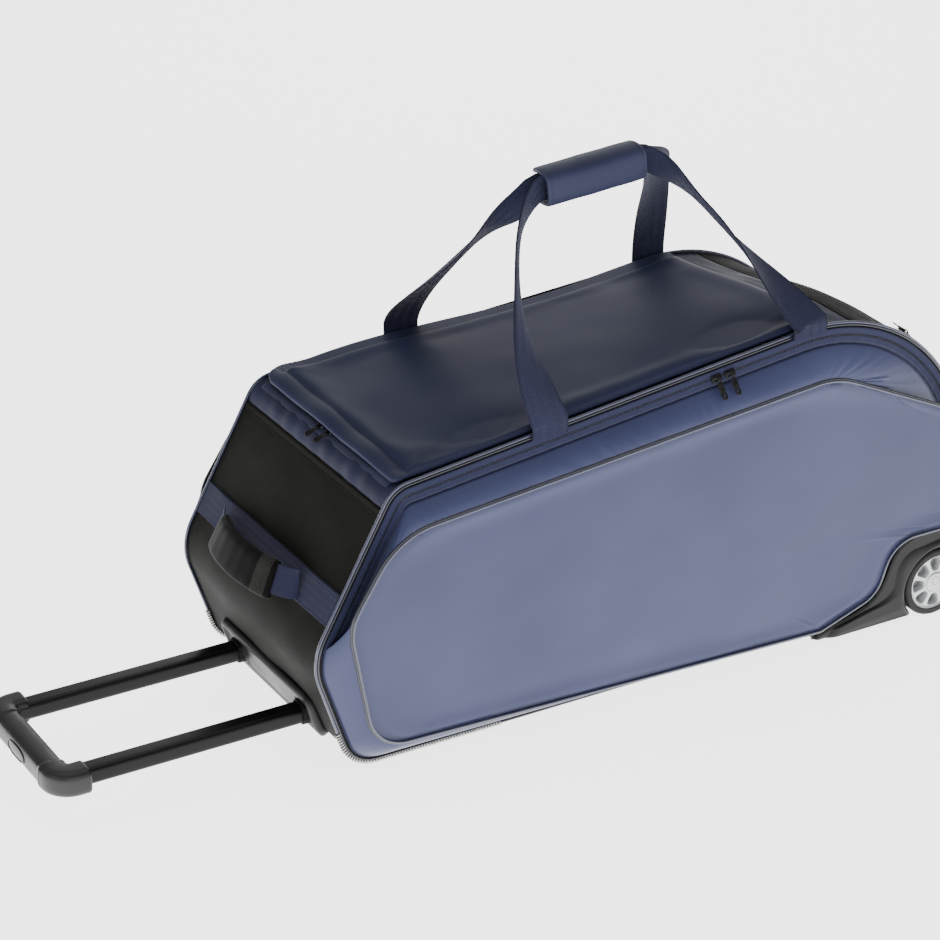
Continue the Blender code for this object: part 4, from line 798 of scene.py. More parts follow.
# Front panel: rings drawn in from its edge to one middle point, crowned by distance from the edge.
def pocketFront(ring, rings):
    middle = np.array([0.365, 0.165])
    inward = np.append(np.linspace(0, 1, rings + 1)[:-1] ** 1.25, [0.978, 0.992])
    spots = ring[None, :, :2] * (1 - inward[:, None, None]) + middle * inward[:, None, None]
    flat = spots.reshape(-1, 2)
    depth = np.concatenate(
        [
            np.linalg.norm(
                block[:, None] - ring[None, :, :2], axis=2
            ).min(1) for block in np.array_split(flat, 24)
        ]
    )
    depth = depth.reshape(spots.shape[:2])
    y = pocket["edgeY"] + pocket["crown"] * (
        1 - np.exp(-depth / 0.022)
    ) - 0.0016 * bell(depth, 0.0035, 0.0016)
    grid = np.stack([spots[..., 0], y, spots[..., 1]], -1)
    tip = np.array([middle[0], y[-1].mean(), middle[1]])
    return grid, tip, depth


pocketGrid, pocketTip, pocketDepth = pocketFront(frontRing, pocket["ringsIn"])
third = pocketGrid[:, ::3]
soft = joined([gridPart(third, closeColumns=True)])
ringCount = third.shape[1]
k = np.arange(ringCount)
lastRow = (third.shape[0] - 1) * ringCount
soft["points"] = np.vstack([soft["points"], pocketTip])
tipIndex = len(soft["points"]) - 1
soft["faces"].append(
    np.stack([lastRow + k, np.full(ringCount, tipIndex), lastRow + (k + 1) % ringCount], 1)
)
loose = np.append((pocketDepth[:, ::3] > 0.007).ravel(), True)
outwards = np.cross(third[0, 1] - third[0, 0], third[1, 0] - third[0, 0])[1]
if outwards < 0:  # pressure follows the faces, so they look away from the bag
    soft["faces"] = [f[:, ::-1] for f in soft["faces"]]
move = puffed(soft, loose, pocket["press"], pocket["swell"], shrink=-0.002)
calm = ease(np.arange(third.shape[0]) / third.shape[0], 0.7, 0.92)[:, None, None]
rows = move[:-1].reshape(third.shape)
move[:-1] = (rows * (1 - calm) + rows[-6:].mean((0, 1)) * calm).reshape(-1, 3)
move[:-1] = evened(move[:-1].reshape(third.shape), 5, around=True).reshape(-1, 3)
swell = smoothAround(move[:-1].reshape(third.shape), 3)
pocketTip = pocketTip + move[-1]
print("side padding ready, mean rise", round(float(swell[..., 1].mean()) * 1000, 2), "mm")


# Whole pocket cloth of one side: rim, gusset with cross wrinkles, edge crease, padded front.
def pocketCloth(side):
    share = np.linspace(0, 1, pocket["ringsGusset"] + 1)[:-1]
    outer, inner = rimRing[None, :, :2], frontRing[None, :, :2]
    spots = outer * (1 - share[:, None, None]) + inner * share[:, None, None]
    bow = np.sin(share * math.pi / 2) ** 0.85
    y = pocket["wallY"] + (pocket["edgeY"] - pocket["wallY"]) * bow[:, None] + 0 * spots[..., 0]
    span = np.concatenate([[0], np.cumsum(np.hypot(*np.diff(frontRing[:, :2], axis=0).T))])
    length = span[-1]
    # cross wrinkles: a wave along the edge whose pitch wanders, strongest in the gusset's middle and over the
    # top
    wanderAlong = np.interp(np.arange(4000) / 4000 * length, span, span)
    phase = np.cumsum(
        1.0 / (0.0085 + 0.0035 * np.sin(wanderAlong * 21 + side) + 0.0022 * np.sin(wanderAlong * 57))
    )
    phase = np.interp(span, wanderAlong, phase * length / 4000)
    force = 0.45 + 0.55 * np.sin(span * 17 + 1.3 * side) ** 2
    top = ease(frontRing[:, 1], 0.2, 0.27)
    tail = ease(frontRing[:, 0], 0.55, 0.66) * top
    strength = pocket["wrinkle"] * force * (0.55 * top + 0.45 * tail + 0.12)
    envelope = (np.sin(share * math.pi) ** 1.2)[:, None]
    lean = share[:, None] * 1.6
    y = y + strength * envelope * np.sin(2 * math.pi * phase[None] + lean)
    y = y + 0.0008 * envelope * wander(np.stack([spots[..., 0], spots[..., 1]], -1), 0.05)
    # Painted shade: dark where the gusset meets the zip band, lighter along the front edge, and dark in the crease
    # round the padded front beside the piping.
    creaseShade = np.zeros_like(y)
    creaseShade[0] = 0.9
    creaseShade[-1] = 0.45
    gusset = np.stack([spots[..., 0], y, spots[..., 1]], -1)
    front = pocketGrid + swell
    front[0] = pocketGrid[0]
    flat = np.vstack([front.reshape(-1, 3), pocketTip])[:, [0, 2]]
    ripple = wander(flat, 0.16) * 0.0013 + wander(flat, 0.06) * 0.0004
    front[..., 1] += ripple[:-1].reshape(front.shape[:2]) * ease(pocketDepth, 0.004, 0.05)
    grid = np.concatenate([gusset, front])
    creaseShades = np.concatenate([creaseShade, 0.9 * bell(pocketDepth, 0.003, 0.0022)])
    tip = np.array([pocketTip[0], front[-1, :, 1].mean(), pocketTip[2]])
    grid[..., 1] *= side
    tip[1] *= side
    part = gridPart(grid, closeColumns=True, across=span)
    count = grid.shape[1]
    k = np.arange(count)
    lastRow = (grid.shape[0] - 1) * count
    part["points"] = np.vstack([part["points"], tip])
    part["faces"].append(
        np.stack([lastRow + k, np.full(count, len(part["points"]) - 1), lastRow + (k + 1) % count], 1)
    )
    part["uv"].append(np.zeros((count, 3, 2)))
    return part, np.append(creaseShades.ravel(), 0.0)


# Bakes the piece's place into its mesh.
def blendAcrossFold(piece):
    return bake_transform(piece)


for name, side in sides.items():
    part, creaseShades = pocketCloth(side)
    piece = makePiece(
        name + "_pocket_cloth", part, "sidePanelCloth", facing=(0, side, 0), attributes={"creaseShade": creaseShades}
    )
    thickened(piece, 0.0018)
    blendAcrossFold(piece)
    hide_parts(name + "_pocket_flap", name + "_pocket_base")

# Inner piping: a round cord in the crease round the padded front, and a dark cord beside it as painted shade in that
# crease.
innerPiping = {"radius": 0.0015, "foot": 0.0024}
for name, side in sides.items():
    ring = frontRing[::2]
    place = ring[:, :2] + ring[:, 2:] * 0.0004
    path = np.stack([place[:, 0], np.full(len(place), side * (pocket["edgeY"] + 0.0012)), place[:, 1]], 1)
    piece = pipe(name + "_panel_piping", path, innerPiping["radius"], 10, "pipingVinyl", closed=True)
    blendAcrossFold(piece)
    # dark cord set into the crease beside the piping: painted shade
    foot = path + np.stack([ring[:, 2], np.zeros(len(ring)), ring[:, 3]], 1) * 0.0019
    foot[:, 1] -= side * 0.0015
    piece = pipe(name + "_piping_crease_shade", foot, innerPiping["foot"] * 0.62, 8, "darkPiping", closed=True)
    blendAcrossFold(piece)
print("side pockets made")

# Side zip: two ribbed tapes with a toothed groove between them.

sideZip = {
    "from": 0.0022, "to": 0.0222,  # inset from the outline
    "groove": 0.0115, "grooveWidth": 0.0012, "crown": 0.001, "y": 0.1655, "pitch": 0.0026,
}
zipS0 = stationAt((-0.0635, bag["fold"] + 0.004))
zipS1 = stationAt((0.845, bag["fold"] + 0.01))
zipStations = np.linspace(zipS0, zipS1, 420)
for name, side in sides.items():
    inset = np.linspace(sideZip["from"], sideZip["to"], 27)
    s, w = np.meshgrid(zipStations, inset, indexing="ij")
    x, z = onProfile(s, -w)
    half = np.where(
        w < sideZip["groove"], sideZip["groove"] - sideZip["from"], sideZip["to"] - sideZip["groove"]
    )
    fromGroove = np.abs(w - sideZip["groove"])
    rise = sideZip["crown"] * roundEdge(fromGroove - sideZip["grooveWidth"] / 2, 0.0016)
    rise *= roundEdge(half - fromGroove + 0.0003, 0.0022)
    y = side * (sideZip["y"] + 0.0002 + rise + 0.0002 * np.sin(s * 330) * (w > 0.013))
    # Painted shade in the toothed groove and along both tape edges; a paler line near the inner edge is wear and
    # painted highlight.
    creaseShade = bell(fromGroove, 0, 0.0012) + bell(w, sideZip["to"], 0.0012) + 0.6 * bell(
        w, sideZip["from"], 0.0015
    )
    wearAndHighlight = 0.55 * bell(w, sideZip["to"] - 0.0024, 0.0007)
    part = gridPart(np.stack([x, y, z], -1), along=zipStations, across=inset)
    piece = makePiece(
        name + "_zip_band", part, "zipTapeCloth", facing=(0, side, 0),
        attributes={"creaseShade": np.clip(creaseShade, 0, 1), "wearAndHighlight": wearAndHighlight},
    )
    thickened(piece, 0.0008, "shell")
    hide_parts(name + "_pocket_zip_tape")
    count = int((zipS1 - zipS0 - 0.004) / sideZip["pitch"])
    at = zipS0 + 0.002 + (np.arange(count) + 0.5) * sideZip["pitch"]
    x, z = onProfile(at, -sideZip["groove"])
    places = np.stack([x, np.full(count, side * (sideZip["y"] + 0.0007)), z], 1)
    step = 1e-4
    ax, az = onProfile(at + step, -sideZip["groove"])
    forward = np.stack([ax - x, 0 * x, az - z], 1) / step
    forward /= np.linalg.norm(forward, axis=1)[:, None]
    outward = np.broadcast_to(np.array([0.0, side, 0.0]), forward.shape)
    across = np.cross(outward, forward)
    tooth = stitchShape(0.0021, 0.00065)
    teeth = scattered(tooth, places, np.stack([across, outward, forward], 1))
    piece = makePiece(name + "_zip_teeth", teeth, "toothNylon", "shell", weld=1e-7, smooth=60)
print("side zips made")

# Edge piping and the spiral trim of the lower corner.

trim = {
    "pipe": 0.0018, "lift": 0.0027, "y": 0.1635, "spiral": 0.0025, "wire": 0.0012, "pitch": 0.0036,
    "seam": 0.0013, "core": 0.0021,
}
trimTopS = stationAt((-0.0348, 0.045))
trimEndS = stationAt((0.17, 0.0)) - profileLength
basePipeEndS = stationAt((wheelX - 0.189, 0.0)) - profileLength
pipeEndS = stationAt((0.851, housingTop + 0.012))


# Line along the profile from s0 to s1, lifted, at one y.
def sideLine(s0, s1, lift, y, step=0.004):
    s = np.linspace(s0, s1, max(3, int((s1 - s0) / step)))
    x, z = onProfile(s, lift)
    return np.stack([x, np.full(len(s), y), z], 1), s


# Spiral: a wire round a core line, place = line + r cos a * y + r sin a * outward.
def spiral(line, s, radius, pitch, wire, sections=8):
    turns = (s[-1] - s[0]) / pitch
    count = int(turns * 12)
    at = np.linspace(s[0], s[-1], count)
    core = np.stack([np.interp(at, s, line[:, k]) for k in range(3)], 1)
    nx, nz = profileNormal(at)
    angle = np.linspace(0, turns * 2 * math.pi, count)
    outward = np.stack([nx, 0 * nx, nz], 1)
    path = core + radius * np.cos(angle)[:, None] * np.array([0, 1.0, 0]) + radius * np.sin(angle)[:, None] * outward
    wide = np.cross(headings(path), headings(core))
    return swept(path, wide, circleSection(wire, sections))


for name, side in sides.items():
    line, s = sideLine(trimTopS, pipeEndS, trim["lift"], side * trim["y"])
    piece = pipe(name + "_outer_piping", line, trim["pipe"], 12, "pipingVinyl", "shell")
    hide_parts(name + "_edge_piping")
    seam, s = sideLine(trimEndS, pipeEndS, 0.0002, side * (trim["y"] + 0.0016), 0.008)
    pipe(name + "_piping_shadow_seam", seam, trim["seam"], 8, "darkPiping", "shell")
    line, s = sideLine(trimEndS, trimTopS, 0.003, side * trim["y"], 0.004)
    coil = makePiece(
        name + "_corner_spiral", spiral(line, s, trim["spiral"], trim["pitch"], trim["wire"], 6), "zipSteel",
        "shell", weld=1e-7, smooth=80,
    )
    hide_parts(name + "_base_edge_coil")
    pipe(name + "_spiral_core", line, trim["core"], 8, "darkPiping", "shell")
    line, s = sideLine(basePipeEndS, trimEndS, 0.0024, side * trim["y"], 0.02)
    piece = pipe(name + "_base_piping", line, trim["core"], 10, "darkPiping", "shell")
print("piping and spiral trim made")

# End panels and the navy header.


# Sheet that follows the profile: rows along s, columns across y, lifted by a function of both.
def profileSheet(s, y, lift):
    s, y = np.meshgrid(s, y, indexing="ij")
    rise = lift(s, y)
    x, z = onProfile(s, rise)
    return np.stack([x, y, z], -1)


# Drops the faces whose middle lies where the test holds.
def withoutFaces(part, test):
    kept, keptUv = [], []
    for faces, uv in zip(part["faces"], part["uv"]):
        middle = part["points"][faces].mean(1)
        stay = ~test(middle)
        kept.append(faces[stay])
        keptUv.append(uv[stay])
    return dict(part, faces=kept, uv=keptUv)


edgeY = 0.1618  # panels end under the edge piping
bottomFrontS = stationAt((0.03, 0.0)) - profileLength
tubeAt = {"y": 0.0805, "z": 0.031, "width": 0.024, "height": 0.02, "rings": 24, "around": 56}


# Where the pull tubes pass: both distances from a tube's middle within its half size.
def insideTubes(middle, grow=0.003):
    nearTube = np.abs(np.abs(middle[:, 1]) - tubeAt["y"]) < tubeAt["width"] / 2 + grow
    return nearTube & (np.abs(middle[:, 2] - tubeAt["z"]) < tubeAt["height"] / 2 + grow)


endPanel = {"puff": 0.0035, "rows": 120, "columns": 110, "seamDrop": 0.0016}
s = np.linspace(bottomFrontS, frontSeamS - 0.0002, endPanel["rows"])
y = np.linspace(-edgeY, edgeY, endPanel["columns"])
ends = (bottomFrontS, frontSeamS)


# Puff as an ellipse across y, slow unevenness, a seam that sinks in and a stitched groove below it.
def endPanelLift(s, y):
    toEdge = edgeY - np.abs(y)
    toSeam = frontSeamS - s
    puff = endPanel["puff"] * np.sqrt(np.clip(1 - (y / edgeY) ** 2, 0, 1)) * ease(toSeam, 0.0, 0.05)
    puff *= ease(s, ends[0] + 0.05, ends[0] + 0.2)
    soft = wander(np.stack([s, y], -1), 0.13) * 0.0011 + wander(np.stack([s, y], -1), 0.05) * 0.0004
    return puff + soft * ease(toSeam, 0.004, 0.03) * ease(toEdge, 0.002, 0.03) - endPanel["seamDrop"] * (
        1 - roundEdge(toSeam, 0.0028)
    ) - 0.0005 * bell(toSeam, 0.0095, 0.0016)


grid = profileSheet(s, y, endPanelLift)
part = gridPart(grid, along=s - s[0], across=y + edgeY)
sAll, yAll = np.meshgrid(s, y, indexing="ij")
# Painted shade at the seam, in the stitched groove and along the side edges; a paler band on the rounded rise below
# the seam and near the side edges (wear and painted highlight).
creaseShades = np.clip(
    bell(frontSeamS - sAll, 0.0095, 0.0012) * 0.6 + bell(frontSeamS - sAll, 0, 0.0012)
    + 0.6 * bell(edgeY - np.abs(yAll), 0, 0.004), 0, 1,
)
wearAndHighlight = 0.45 * bell(frontSeamS - sAll, 0.0045, 0.003) + 0.12 * bell(edgeY - np.abs(yAll), 0.006, 0.003)
part = withoutFaces(part, insideTubes)
piece = makePiece(
    "end_panel_cloth", part, "blackWoven", facing=(-1, 0, 0), attributes={"creaseShade": creaseShades, "wearAndHighlight": wearAndHighlight}
)
thickened(piece, 0.0025, "shell")
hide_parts("handle_end_panel")

# Header: frames the lid opening. Its strip before the lid has small gathers.
header = {"opening": 0.136, "rows": 260, "columns": 121, "gather": 0.0012}
openS0, openS1 = lidFrontS + 0.014, lidRearS - 0.014
s = np.sort(
    np.concatenate([np.linspace(frontSeamS + 0.0002, rearSeamS - 0.0002, header["rows"]), [openS0, openS1]])
)
y = np.sort(
    np.concatenate([np.linspace(-edgeY, edgeY, header["columns"]), [-header["opening"], header["opening"]]])
)


# Seams sink at both ends; the strip before the lid bulges as a half sine wave and has small gathers.
def headerLift(s, y):
    fromFront, fromRear = s - frontSeamS, rearSeamS - s
    strip = ease(lidFrontS + 0.012 - s, 0, 0.02)
    tailStrip = ease(s, lidRearS - 0.005, lidRearS + 0.01)
    lift = -0.0014 * (1 - roundEdge(fromFront, 0.0025)) - 0.0014 * (1 - roundEdge(fromRear, 0.0025))
    lift = lift + strip * 0.0022 * np.sin(np.clip(fromFront / (lidFrontS - frontSeamS), 0, 1) * math.pi)
    gathers = wander(np.stack([s * 0.35, y], -1), 0.03) * header["gather"] * strip
    creasesAcross = wander(np.stack([s * 1.0, y * 0.4], -1), 0.024) * header["gather"] * 1.2
    return lift + gathers + tailStrip * creasesAcross * ease(fromRear, 0.002, 0.012)


grid = profileSheet(s, y, headerLift)
sAll, yAll = np.meshgrid(s, y, indexing="ij")
# Painted shade at both seams and under the lid's front lip.
creaseShades = np.clip(
    bell(sAll, frontSeamS, 0.0012) + bell(sAll, rearSeamS, 0.0016) + 0.35 * bell(sAll, lidFrontS, 0.006), 0, 1
)
part = gridPart(grid, along=s - s[0], across=y + edgeY)
inOpening = lambda middle: (np.abs(middle[:, 1]) < header["opening"] - 1e-4) & (
    middle[:, 0] > onProfile(openS0)[0]
) & (middle[:, 0] < onProfile(openS1)[0])
part = withoutFaces(part, inOpening)
piece = makePiece("header_cloth", part, "headerCloth", facing=(0, 0, 1), attributes={"creaseShade": creaseShades})
thickened(piece, 0.0022, "shell")
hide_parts("top_frame")

# Wheel end: black cloth from the header to the base, cut round the wheel housings.
tailPanel = {"rows": 220, "columns": 110, "puff": 0.003}
bottomRearS = stationAt((0.815, 0.0))
housing = {
    "drop": 0.012, "cutY": 0.0975, "top": housingTop, "tailX": wheelX - 0.179,
}
housingOutline = roundedOutline(
    [
        (housing["tailX"], -housing["drop"], 0.0008),
        (housing["tailX"] + 0.005, -0.002, 0.004),
        (wheelX - 0.087, 0.022, 0.055),
        (wheelX - 0.061, housing["top"], 0.045),
        (0.8535, housing["top"], 0.01),
        (0.832, -housing["drop"], 0.008),
    ],
    16,
)


# Puff as an ellipse across y, with slack folds that fade down the panel.
def tailLift(s, y):
    toEdge, toSeam = edgeY - np.abs(y), s - rearSeamS
    puff = tailPanel["puff"] * np.sqrt(np.clip(1 - (y / edgeY) ** 2, 0, 1)) * ease(toSeam, 0, 0.05)
    folds = wander(
        np.stack([s, y * 0.45], -1), 0.09
    ) * 0.0022 * ease(toSeam, 0.004, 0.04) * (1 - ease(toSeam, 0.15, 0.3))
    soft = wander(np.stack([s, y], -1), 0.07) * 0.0006
    return puff + (folds + soft) * ease(toEdge, 0.002, 0.02) - 0.0014 * (1 - roundEdge(toSeam, 0.0025))


s = np.linspace(rearSeamS + 0.0002, bottomRearS, tailPanel["rows"])
y = np.sort(
    np.concatenate([np.linspace(-edgeY, edgeY, tailPanel["columns"]), [-housing["cutY"], housing["cutY"]]])
)
grid = profileSheet(s, y, tailLift)
sAll, yAll = np.meshgrid(s, y, indexing="ij")
# Painted shade at the seam and along the side edges; a paler band beside the seam (wear and painted highlight).
creaseShades = np.clip(bell(sAll, rearSeamS, 0.0014) + 0.6 * bell(edgeY - np.abs(yAll), 0, 0.004), 0, 1)
wearAndHighlight = 0.4 * bell(sAll - rearSeamS, 0.004, 0.003)
part = withoutFaces(
    gridPart(grid, along=s - s[0], across=y + edgeY),
    lambda middle: (np.abs(middle[:, 1]) > housing["cutY"]) & (middle[:, 2] < housing["top"] + 0.0005),
)
piece = makePiece(
    "wheel_end_cloth", part, "blackWoven", facing=(1, 0, 0.3), attributes={"creaseShade": creaseShades, "wearAndHighlight": wearAndHighlight}
)
thickened(piece, 0.0025, "shell")
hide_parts("wheel_end_panel")

# Far wall behind the pocket, following the settled top edge.
ring = roundedOutline(bag["corners"], 10)
wallY = 0.1648
wallRing = np.stack([ring[:, 0], np.full(len(ring), wallY), ring[:, 1]], 1)
middle = np.array([0.38, wallY, 0.18])
share = np.linspace(0, 1, 9)[:-1, None, None]
wallGrid = wallRing[None] * (1 - share) + middle * share
part = gridPart(wallGrid, closeColumns=True)
last = fanPart(wallGrid[-1], middle)
piece = makePiece("far_wall_lining", joined([part, last]), "blackLining", weld=1e-6, facing=(0, 1, 0))
thickened(piece, 0.0026, "shell")
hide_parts("far_side_wall")

# Rows of stitches beside the seams.
def acrossLine(s, lift, half, count=60):
    y = np.linspace(-half, half, count)
    x, z = onProfile(np.full(count, s), lift)
    nx, nz = profileNormal(s)
    return np.stack([x, y, z], 1), np.array([nx, 0, nz])


# One row of stitches on such a line.
def seamStitches(name, s, lift, half, finish):
    path, outward = acrossLine(s, lift, half)
    return makePiece(name, stitchRow(path, outward), finish, "shell", weld=1e-7, smooth=70)


seamStitches("end_panel_stitches", frontSeamS - 0.0096, 0.0006, 0.155, "blackThread")
seamStitches("wheel_end_stitches", rearSeamS + 0.008, 0.001, 0.155, "blackThread")
print("end panels and header made")

# Webbing band and grab handle on the handle end.

webbing = {"start": 0.04, "width": 0.04, "thickness": 0.0022, "half": 0.1612}
noseS = stationAt((-0.0632, 0.1405))
webS0 = noseS + webbing["start"]


# The end panel's puff, the webbing's thickness with rounded edges, and slow ripples outside the handle.
def webLift(s, y):
    acrossShare = (s - webS0) / webbing["width"]
    edge = np.minimum(acrossShare, 1 - acrossShare) * webbing["width"]
    lift = endPanel["puff"] * np.sqrt(np.clip(1 - (y / edgeY) ** 2, 0, 1)) * 0.98
    ripple = 0.0009 * wander(np.stack([s * 0.3, y], -1), 0.05) * ease(np.abs(y), 0.06, 0.1)
    return lift + 0.0004 + webbing["thickness"] * roundEdge(edge, 0.0009) + ripple


s = np.linspace(webS0, webS0 + webbing["width"], 26)
y = np.linspace(-webbing["half"], webbing["half"], 140)
grid = profileSheet(s, y, webLift)
part = gridPart(grid.transpose(1, 0, 2), along=y + 0.2, across=s - s[0])
sAll, yAll = np.meshgrid(y, s, indexing="ij")
# Painted shade along both edges of the band.
creaseShades = 0.8 * bell(np.minimum(yAll - webS0, webS0 + webbing["width"] - yAll), 0, 0.0012)
piece = makePiece(
    "end_webbing_band", part, "navyWebbing", facing=(-1, 0, 0.3), attributes={"creaseShade": creaseShades}
)
thickened(piece, 0.0018, "shell")
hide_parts("end_webbing")
for k, offset in enumerate((0.0025, webbing["width"] - 0.0025)):
    seamStitches(f"webbing_stitches_{k}", webS0 + offset, 0.0058, 0.157, "stitchThread")

grab = {
    "span": 0.092, "padHalf": 0.07, "reach": 0.03, "webWidth": 0.034, "webThickness": 0.0024,
    "padWidth": 0.044, "padThickness": 0.0135, "lift": 0.0075, "sag": 0.003,
}
grabS = webS0 + webbing["width"] / 2
nx, nz = profileNormal(grabS)
faceOut, faceUp = np.array([nx, 0, nz]), np.array([nz, 0, -nx])
reachOut = faceOut * 0.92 - np.array([0, 0, 0.39])
reachOut /= np.linalg.norm(reachOut)
rootX, rootZ = onProfile(grabS, 0.0028 + grab["lift"])


# Bow of the handle: root + span * t across + reach * (1 - t^2)^0.6 outwards.
def grabPath(t):
    bow = np.clip(1 - t * t, 0, 1) ** 0.6
    return (
        np.stack([np.full(t.shape, rootX), grab["span"] * t, np.full(t.shape, rootZ)], 1)
        + reachOut * grab["reach"] * bow[:, None]
    )


t = np.sin(np.linspace(-1, 1, 90) * math.pi / 2)
path = grabPath(t)
section = softSection(grab["webWidth"], grab["webThickness"], 6, 20)
piece = makePiece("grab_webbing", swept(path, faceUp, section), "navyWebbing", "grab", weld=1e-6)
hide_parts("grab_handle")

# Padded sleeve: a flattened soft tube round the webbing, plump in its middle, pinched at its ends.
t = np.linspace(-1, 1, 110)
inside = grabPath(np.sin(t * math.asin(grab["padHalf"] / grab["span"])))
ends = roundEdge((1 - np.abs(t)) * grab["padHalf"], 0.004)
plump = 0.8 + 0.2 * np.sqrt(np.clip(1 - t**2, 0, 1)) + 0.02 * np.sin(t * 23)
count = 48
angle = np.arange(count) * 2 * math.pi / count
ring = softSection(grab["padWidth"], grab["padThickness"], 3.2, count)
ring = ring * (1 + 0.035 * np.sin(angle * 5 + 1.0))[:, None]
scale = np.stack([0.93 + 0.07 * ends, (0.45 + 0.55 * ends) * plump], 1)
sag = np.array([0, 0, -grab["sag"]])
piece = makePiece(
    "grab_sleeve", swept(inside + sag, faceUp, ring, scale=scale), "padSleeve", "grab", weld=1e-6, smooth=60
)
fringe = swept(
    (inside + sag)[6:24], faceUp, ring * np.array([1.03, 1.06]), scale=scale[6:24], caps=True
)
piece = makePiece("grab_hook_patch", fringe, "hookPatch", "grab", weld=1e-6, smooth=60)
for k, row in enumerate((0.3, -0.3)):
    at = inside + sag + faceUp * grab["padWidth"] * row + reachOut * (
        grab["padThickness"] / 2 * plump
    )[:, None] * 0.96
    piece = makePiece(f"grab_stitches_{k}", stitchRow(at[26:-8], reachOut), "blackThread", "grab", weld=1e-7)
print("webbing and grab handle made")

# Lid.

lid = {
    "half": 0.1575, "thickness": 0.0045, "border": 0.02, "pad": 0.0075, "corner": 0.034, "rows": 150,
    "columns": 88,
    "press": 2.2, "swell": 0.006, "lift": 0.0135, "rise": 0.0035, "overhang": 0.0125,
    "groove": 0.002,
}
s = np.linspace(lidFrontS - lid["overhang"], lidRearS + 0.002, lid["rows"])
shareY = np.sin(np.linspace(-1, 1, lid["columns"]) * math.pi / 2 * 0.93) / math.sin(math.pi / 2 * 0.93)
y = shareY * lid["half"]
sAll, yAll = np.meshgrid(s, y, indexing="ij")
# the handle end's corners are rounded: rows near the front are drawn in towards the middle
fromFront = sAll - s[0]
cornerRadius = np.where(yAll > 0, lid["corner"], 0.008)
drawn = 1 - (1 - roundEdge(fromFront, cornerRadius)) * cornerRadius / lid["half"]
yAll = yAll * drawn
toSide = (1 - np.abs(shareY))[None, :] * lid["half"] * drawn
toFront = fromFront
toRear = s[-1] - sAll
padIn = np.minimum(toFront - lid["border"], toRear - 0.004)
farSide = ease(yAll, -0.02, 0.02)
padIn = np.minimum(padIn, toSide - lid["border"] * farSide - 0.001 * (1 - farSide))
padIn = np.maximum(padIn, 0)


# height: a rounded flap edge, the padding inside the border, and two sewn grooves beside it
edge = np.minimum(np.minimum(toSide, toFront), toRear + 0.004)
rise = lid["thickness"] * roundEdge(edge, 0.0035)
rise = rise + lid["pad"] * (1 - np.exp(-padIn / 0.0085))
rise = rise - lid["groove"] * bell(padIn, 0.0, 0.002) * ease(toFront, 0.01, 0.016) * (toSide < 0.024)
rise = rise - lid["groove"] * bell(toFront, lid["border"], 0.002) * (toSide > 0.01)
# lifted lip at the handle end, gentle waves along it
lipShare = bell(toFront, 0, 0.045)
lip = lid["lift"] * lipShare * (0.35 + 0.65 * ease(yAll, -0.15, 0.06))
lip = lip + 0.0016 * lipShare * np.sin(yAll * 62 + 0.6)
x, z = onProfile(sAll, 0.0006 + rise + lip + lid["rise"] * ease(toFront, 0, 0.1))
lidGrid = np.stack([x, yAll, z], -1)
move = puffed(
    gridPart(lidGrid[:, ::-1]), (padIn > 0.003)[:, ::-1].ravel(), lid["press"], lid["swell"],
    shrink=-0.003
)
move = evened(move.reshape(lidGrid.shape)[:, ::-1], 7)
lidGrid = lidGrid + move
# dents where the carry straps press, and slow unevenness of the padding
dents = np.zeros_like(yAll)
for dentX, dentY, width, depth in (
    (0.17, -0.145, 0.05, 0.0085), (0.5, -0.14, 0.046, 0.0105), (0.255, 0.14, 0.05, 0.007),
    (0.52, 0.15, 0.055, 0.006), (0.235, -0.15, 0.026, 0.003), (0.58, -0.148, 0.03, 0.004),
):
    dents += depth * np.exp(
        -((lidGrid[..., 0] - dentX) / width) ** 2 - ((yAll - dentY) / (width * 0.75)) ** 2
    )
slow = wander(lidGrid[..., :2], 0.17) * 0.0022 + wander(lidGrid[..., :2], 0.07) * 0.0006
room = ease(padIn, 0.0, 0.03)
lidGrid[..., 2] += (slow - dents) * room
lidGrid[..., 2] -= 0.35 * dents * (1 - room) * ease(toSide, 0.0, 0.01)
under = np.stack(onProfile(sAll, 0.0004 + lip * 0.9 + lid["rise"] * 0.9 * ease(toFront, 0, 0.1)), -1)
underGrid = np.stack([under[..., 0], yAll, under[..., 1]], -1)
lidGrid[..., 2] = np.maximum(lidGrid[..., 2], underGrid[..., 2] + 0.004)
# Painted shade in the sewn grooves of the border and on the whole underside; a paler line along the rounded flap
# edge (wear and painted highlight).
creaseShades = np.clip(0.8 * bell(toFront, lid["border"], 0.0015) * (toSide > 0.012), 0, 1)
creaseShades = np.maximum(
    creaseShades, 0.8 * bell(toSide, lid["border"], 0.0015) * (yAll > 0) * ease(toFront, 0.018, 0.026)
)
lidEdgeWearAndHighlight = 0.35 * bell(np.minimum(toSide, toFront), 0.0022, 0.0014)


part = shellOf(lidGrid, underGrid, s - s[0], y + lid["half"])
rimCount = 2 * (len(y) + len(y) + len(s) + len(s))
zeros = np.zeros(rimCount)
creaseShadeValues = np.concatenate([creaseShades.ravel(), np.full(creaseShades.size, 0.3), zeros])
wearAndHighlightValues = np.concatenate([lidEdgeWearAndHighlight.ravel(), np.zeros(lidEdgeWearAndHighlight.size), zeros])
piece = makePiece(
    "lid_pad", part, "lidCloth", weld=1e-5, smooth=50, attributes={"creaseShade": creaseShadeValues, "wearAndHighlight": wearAndHighlightValues}
)
rounding = piece.modifiers.new("round", "SUBSURF")
rounding.levels = rounding.render_levels = 1
settled(piece)
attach(piece, "lid_flap")
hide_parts("lid")

